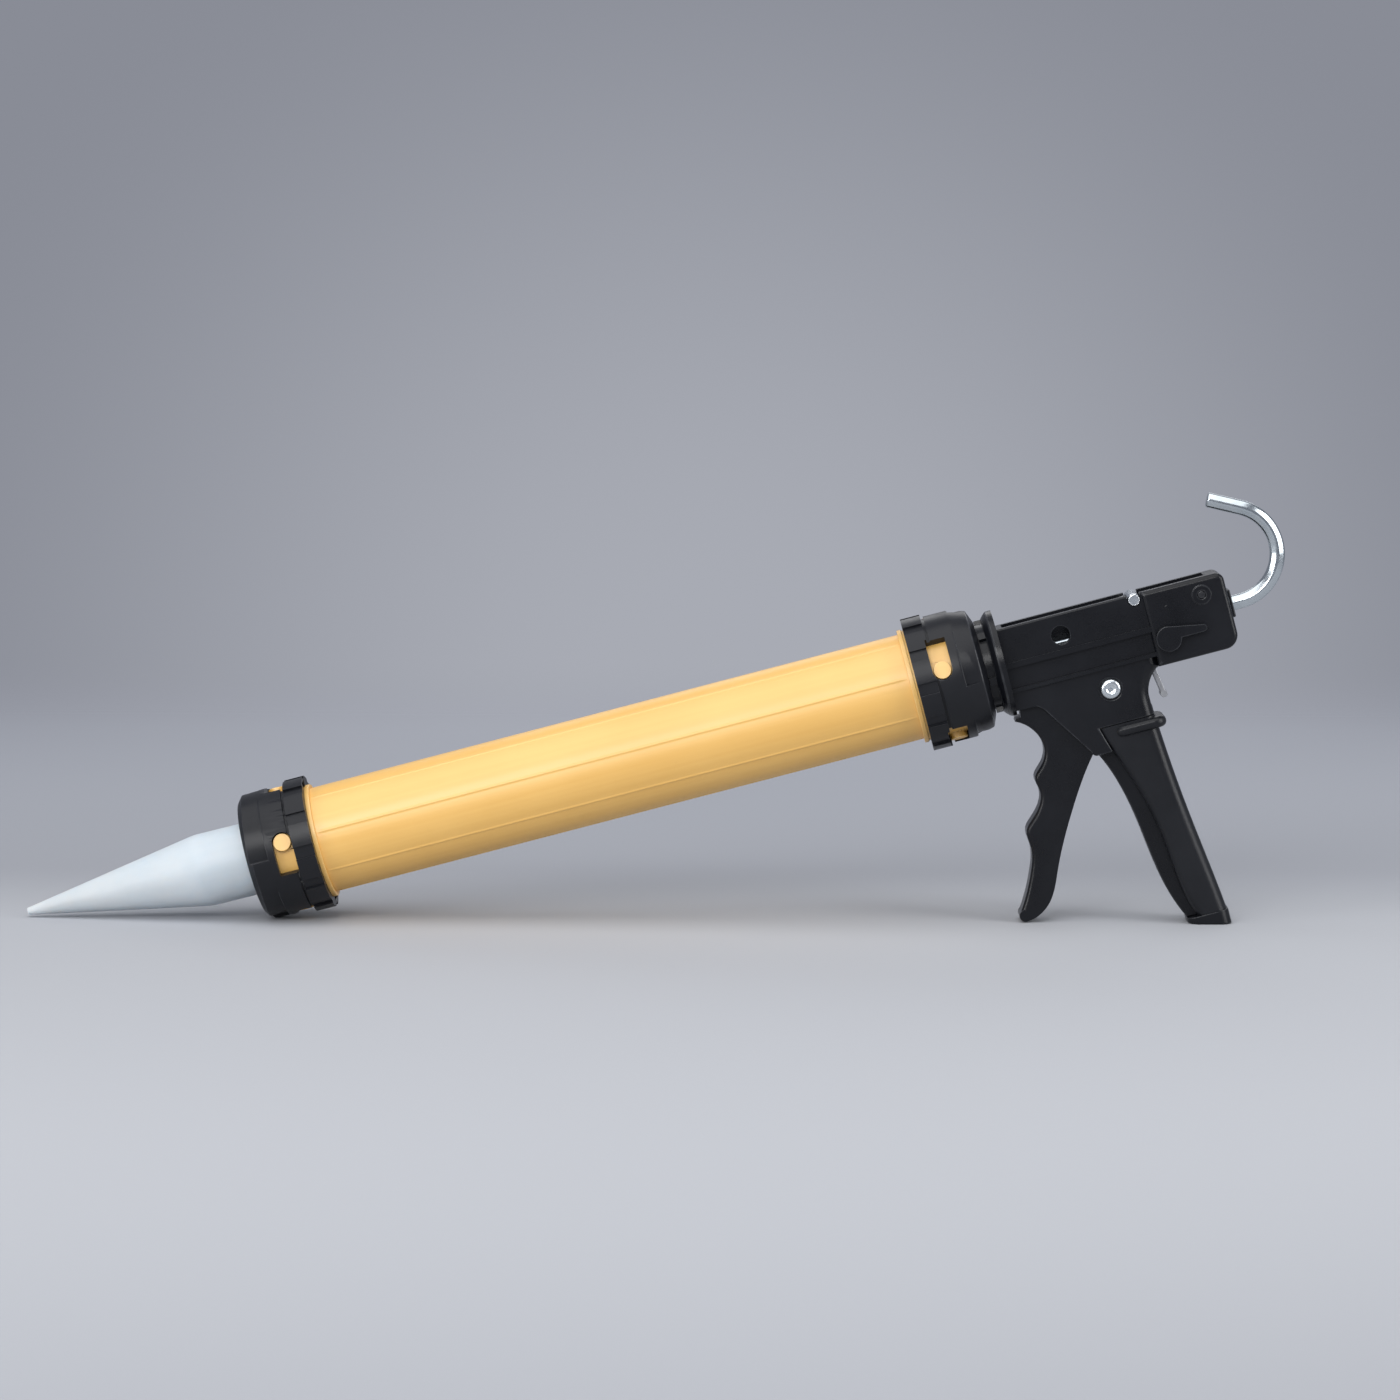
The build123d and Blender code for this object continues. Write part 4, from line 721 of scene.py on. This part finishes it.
def coil(node, wire, turns):
    """A compression spring of round wire with closed ends."""
    low, high = gun_span(node)
    middle = (low + high) / 2
    reach = (high.y - low.y - wire) / 2
    length = high.x - low.x - wire
    angles = [2 * math.pi / WIRE_SIDES * side for side in range(WIRE_SIDES)]
    section = [(wire / 2 * math.cos(angle), wire / 2 * math.sin(angle)) for angle in angles]
    path = []
    for step in range(round(turns * STEPS_PER_TURN) + 1):
        turn = step / STEPS_PER_TURN
        rise = min(1.0, max(0.0, (turn - CLOSED_TURNS) / (turns - 2 * CLOSED_TURNS)))
        place = Matrix.Translation((low.x + wire / 2 + length * rise, 0, middle.z))
        around = Matrix.Rotation(2 * math.pi * turn, 4, "X")
        along = Matrix.Translation((0, reach, 0)) @ Matrix.Rotation(math.pi / 2, 4, "Y")
        path.append(Matrix.Scale(MM, 4) @ place @ around @ along @ Matrix.Scale(1 / MM, 4))
    piece = shown(swept(section, [GUN @ place for place in path]), node, steel, smooth_angle=50)
    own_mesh(piece)


# How wide the rounded edges are, and the share of that below which the frame's tight edges stay sharp
FRAME_EDGE = 0.7
FRAME_TIGHTEST = 0.4
FOOT_EDGE = 0.4
CAP_EDGE = 0.6
COLLAR_EDGE = 0.4
PLATE_EDGE = 0.3
PIN_EDGE = 0.5

softened("frame", black_frame, FRAME_EDGE, tightest=FRAME_TIGHTEST, moved=closer_to_grip)
for node in ("trigger", "lock_lever", "rear_guide"):
    softened(node, black_frame, FRAME_EDGE)
softened("grip_foot", black_frame, FOOT_EDGE)
for node in ("front_cap", "rear_cap"):
    softened(node, black_cap, CAP_EDGE)
for node in ("front_collar", "rear_collar"):
    softened(node, yellow, COLLAR_EDGE)
softened("catch_plate", steel, PLATE_EDGE)
softened("catch_pin", zinc_pin, PIN_EDGE)
softened("guide_pin", dark_steel, PIN_EDGE)
ridged_barrel()
leaning_nozzle()
hooked_rod()
dished_pin()
housing_stud()

# The springs: the drive plate slides against one, the catch plate swings on its pin against the other
DRIVE_WIRE = 1.1
DRIVE_TURNS = 5
CATCH_WIRE = 0.7
CATCH_TURNS = 3
coil("drive_spring", DRIVE_WIRE, DRIVE_TURNS)
coil("catch_spring", CATCH_WIRE, CATCH_TURNS)

for material, nodes in (
    (black_grip, ("grip_sleeve",)),
    (zinc_pin, ("piston_washer", "piston_screw")),
    (steel, ("trigger_pin_clip", "drive_plate", "swivel_clip", "lever_clip")),
    (nylon, ("swivel_washer", "front_bushing", "piston")),
    (rubber, ("piston_seal",)),
):
    for node in nodes:
        dress(node, material)


# Stage, light and camera

FLOOR_COLOUR = (0.40, 0.41, 0.435, 1)
SHADE_COLOUR = (0.32, 0.33, 0.36, 1)
BACK_COLOUR = (0.42, 0.435, 0.48, 1)
# The background seen by the camera is painted brighter round BACKGROUND_AIM and darker towards the edges, as
# painted light falloff.
BACKGROUND_MIDDLE = (0.392, 0.407, 0.456, 1)
BACKGROUND_REST = (0.250, 0.262, 0.305, 1)
BACKGROUND_AIM = (-0.01, 0.995, -0.10)
BACKGROUND_FADE = (0.02, 0.19)
SKY_COLOUR = (0.86, 0.90, 1.0, 1)
SKY_STRENGTH = (0.08, 0.45)
SKY_HEIGHT = 0.9

# Where the floor changes colour behind the gun and where its edges fade, in metres
FLOOR_REACH = 2.2
SHADE_FROM = (-0.02, 0.22)
BACK_FROM = (0.2, 1.0)
BACK_FADE = (0.5, 1.6)
FRONT_FADE = (-2.2, -0.5)
SIDE_FADE = (0.5, 1.8)


def studio_floor():
    """A pale paper sheet round the gun, which fades into the background on all sides."""
    data = bpy.data.meshes.new("studio_floor")
    corners = [(FLOOR_REACH * x, FLOOR_REACH * y, 0) for x, y in ((-1, -1), (1, -1), (1, 1), (-1, 1))]
    data.from_pydata(corners, [], [(0, 1, 2, 3)])
    sheet = bpy.data.objects.new("studio_floor", data)
    bpy.context.scene.collection.objects.link(sheet)
    surface = Surface("studio_floor", Roughness=0.9, Specular_IOR_Level=0.1)
    across, deep, _ = surface.apart(surface.place)
    fleck = surface.spread(surface.noise(400, 2), 0.3, 0.7, -0.02, 0.02)
    behind = surface.plus(surface.spread(deep, *SHADE_FROM, 0, 1, "SMOOTHSTEP"), fleck)
    near = surface.blend(behind, FLOOR_COLOUR, SHADE_COLOUR)
    surface.colour(surface.blend(surface.spread(deep, *BACK_FROM), near, BACK_COLOUR))
    back_edge = surface.spread(deep, *BACK_FADE, 1, 0, "SMOOTHSTEP")
    front_edge = surface.spread(deep, *FRONT_FADE, 0, 1, "SMOOTHSTEP")
    aside = surface.maths("ABSOLUTE", across, 0)
    side_edges = surface.spread(aside, *SIDE_FADE, 1, 0, "SMOOTHSTEP")
    both_ends = surface.times(back_edge, front_edge)
    surface.wire(surface.shader.inputs["Alpha"], surface.times(both_ends, side_edges))
    data.materials.append(surface.material)


def lamp(name, place, aim, size, power):
    """A softbox of a size in metres and a power in watts, turned from its place towards a point."""
    data = bpy.data.lights.new(name, "AREA")
    data.shape = "RECTANGLE"
    data.size, data.size_y = size
    data.energy = power
    light = bpy.data.objects.new(name, data)
    light.location = place
    light.rotation_euler = (Vector(aim) - Vector(place)).to_track_quat("-Z", "Y").to_euler()
    bpy.context.scene.collection.objects.link(light)


def studio_world():
    """Light that is dim round the horizon and brighter overhead, and a grey background to look at, painted
    brighter in the middle and darker towards its edges as painted light falloff.
    """
    world = bpy.data.worlds.new("studio")
    bpy.context.scene.world = world
    world.use_nodes = True
    nodes = Wiring(world.node_tree)
    direction = nodes.add("ShaderNodeTexCoord").outputs["Generated"]
    light = world.node_tree.nodes["Background"]
    light.inputs["Color"].default_value = SKY_COLOUR
    height = nodes.apart(direction)[2]
    nodes.wire(light.inputs["Strength"], nodes.spread(height, 0.0, SKY_HEIGHT, *SKY_STRENGTH))
    off_aim = nodes.add("ShaderNodeVectorMath", operation="DISTANCE")
    nodes.wire(off_aim.inputs[0], direction)
    nodes.wire(off_aim.inputs[1], BACKGROUND_AIM)
    # Painted light falloff: the background darkens away from its brighter middle.
    painted_falloff = nodes.spread(off_aim.outputs["Value"], *BACKGROUND_FADE, 0, 1, "SMOOTHSTEP")
    seen = nodes.add("ShaderNodeBackground")
    nodes.wire(seen.inputs["Color"], nodes.blend(painted_falloff, BACKGROUND_MIDDLE, BACKGROUND_REST))
    ray = nodes.add("ShaderNodeLightPath").outputs
    mirrored = nodes.plus(ray["Is Glossy Ray"], ray["Is Transmission Ray"])
    either = nodes.add("ShaderNodeMixShader")
    nodes.wire(either.inputs[0], nodes.maths("MINIMUM", nodes.plus(ray["Is Camera Ray"], mirrored), 1))
    nodes.wire(either.inputs[1], light.outputs["Background"])
    nodes.wire(either.inputs[2], seen.outputs["Background"])
    nodes.wire(world.node_tree.nodes["World Output"].inputs["Surface"], either.outputs["Shader"])


studio_floor()
studio_world()
lamp("top_softbox", (-0.1, -0.4, 1.6), (0, 0, 0.1), (2.2, 1.8), 20)
lamp("front_fill", (-0.6, -2.2, 1.2), (0, 0, 0.1), (1.6, 0.9), 30)
lamp("right_strip", (1.7, -0.7, 0.8), (0.2, 0, 0.12), (0.9, 1.4), 18)
lamp("back_fill", (0.3, 2.4, 1.5), (0, 0, 0.1), (2.0, 1.0), 10)
lamp("left_strip", (-1.6, -1.3, 0.4), (-0.1, 0, 0.06), (0.9, 0.7), 12)

# The camera stands square to the gun's side, a little above it and a touch towards its hook end
CAMERA_AZIMUTH = 1.339
CAMERA_ELEVATION = 5.54
CAMERA_DISTANCE = 2.6
SENSOR_WIDTH = 36
VIEW_REACH = 50
MM_PER_PIXEL = 0.53313
IMAGE_WIDTH = 1400
VIEW_CENTRE = Vector((0, 0, 0.117))
CENTRE_SHIFT = (-44.09, 1.61)


def photo_camera():
    """The camera that sees the gun as the photograph does, with the small shift that its framing needs."""
    azimuth, elevation = math.radians(CAMERA_AZIMUTH), math.radians(CAMERA_ELEVATION)
    level = math.cos(elevation)
    backwards = Vector((math.sin(azimuth) * level, -math.cos(azimuth) * level, math.sin(elevation)))
    data = bpy.data.cameras.new("camera")
    data.sensor_width = SENSOR_WIDTH
    data.lens = SENSOR_WIDTH * CAMERA_DISTANCE / (MM_PER_PIXEL * MM * IMAGE_WIDTH)
    data.shift_x = -CENTRE_SHIFT[0] / IMAGE_WIDTH
    data.shift_y = CENTRE_SHIFT[1] / IMAGE_WIDTH
    data.clip_end = VIEW_REACH
    camera = bpy.data.objects.new("camera", data)
    camera.location = VIEW_CENTRE + backwards * CAMERA_DISTANCE
    camera.rotation_euler = (-backwards).to_track_quat("-Z", "Y").to_euler()
    bpy.context.scene.collection.objects.link(camera)
    bpy.context.scene.camera = camera


photo_camera()
bpy.context.scene.view_settings.view_transform = "Standard"
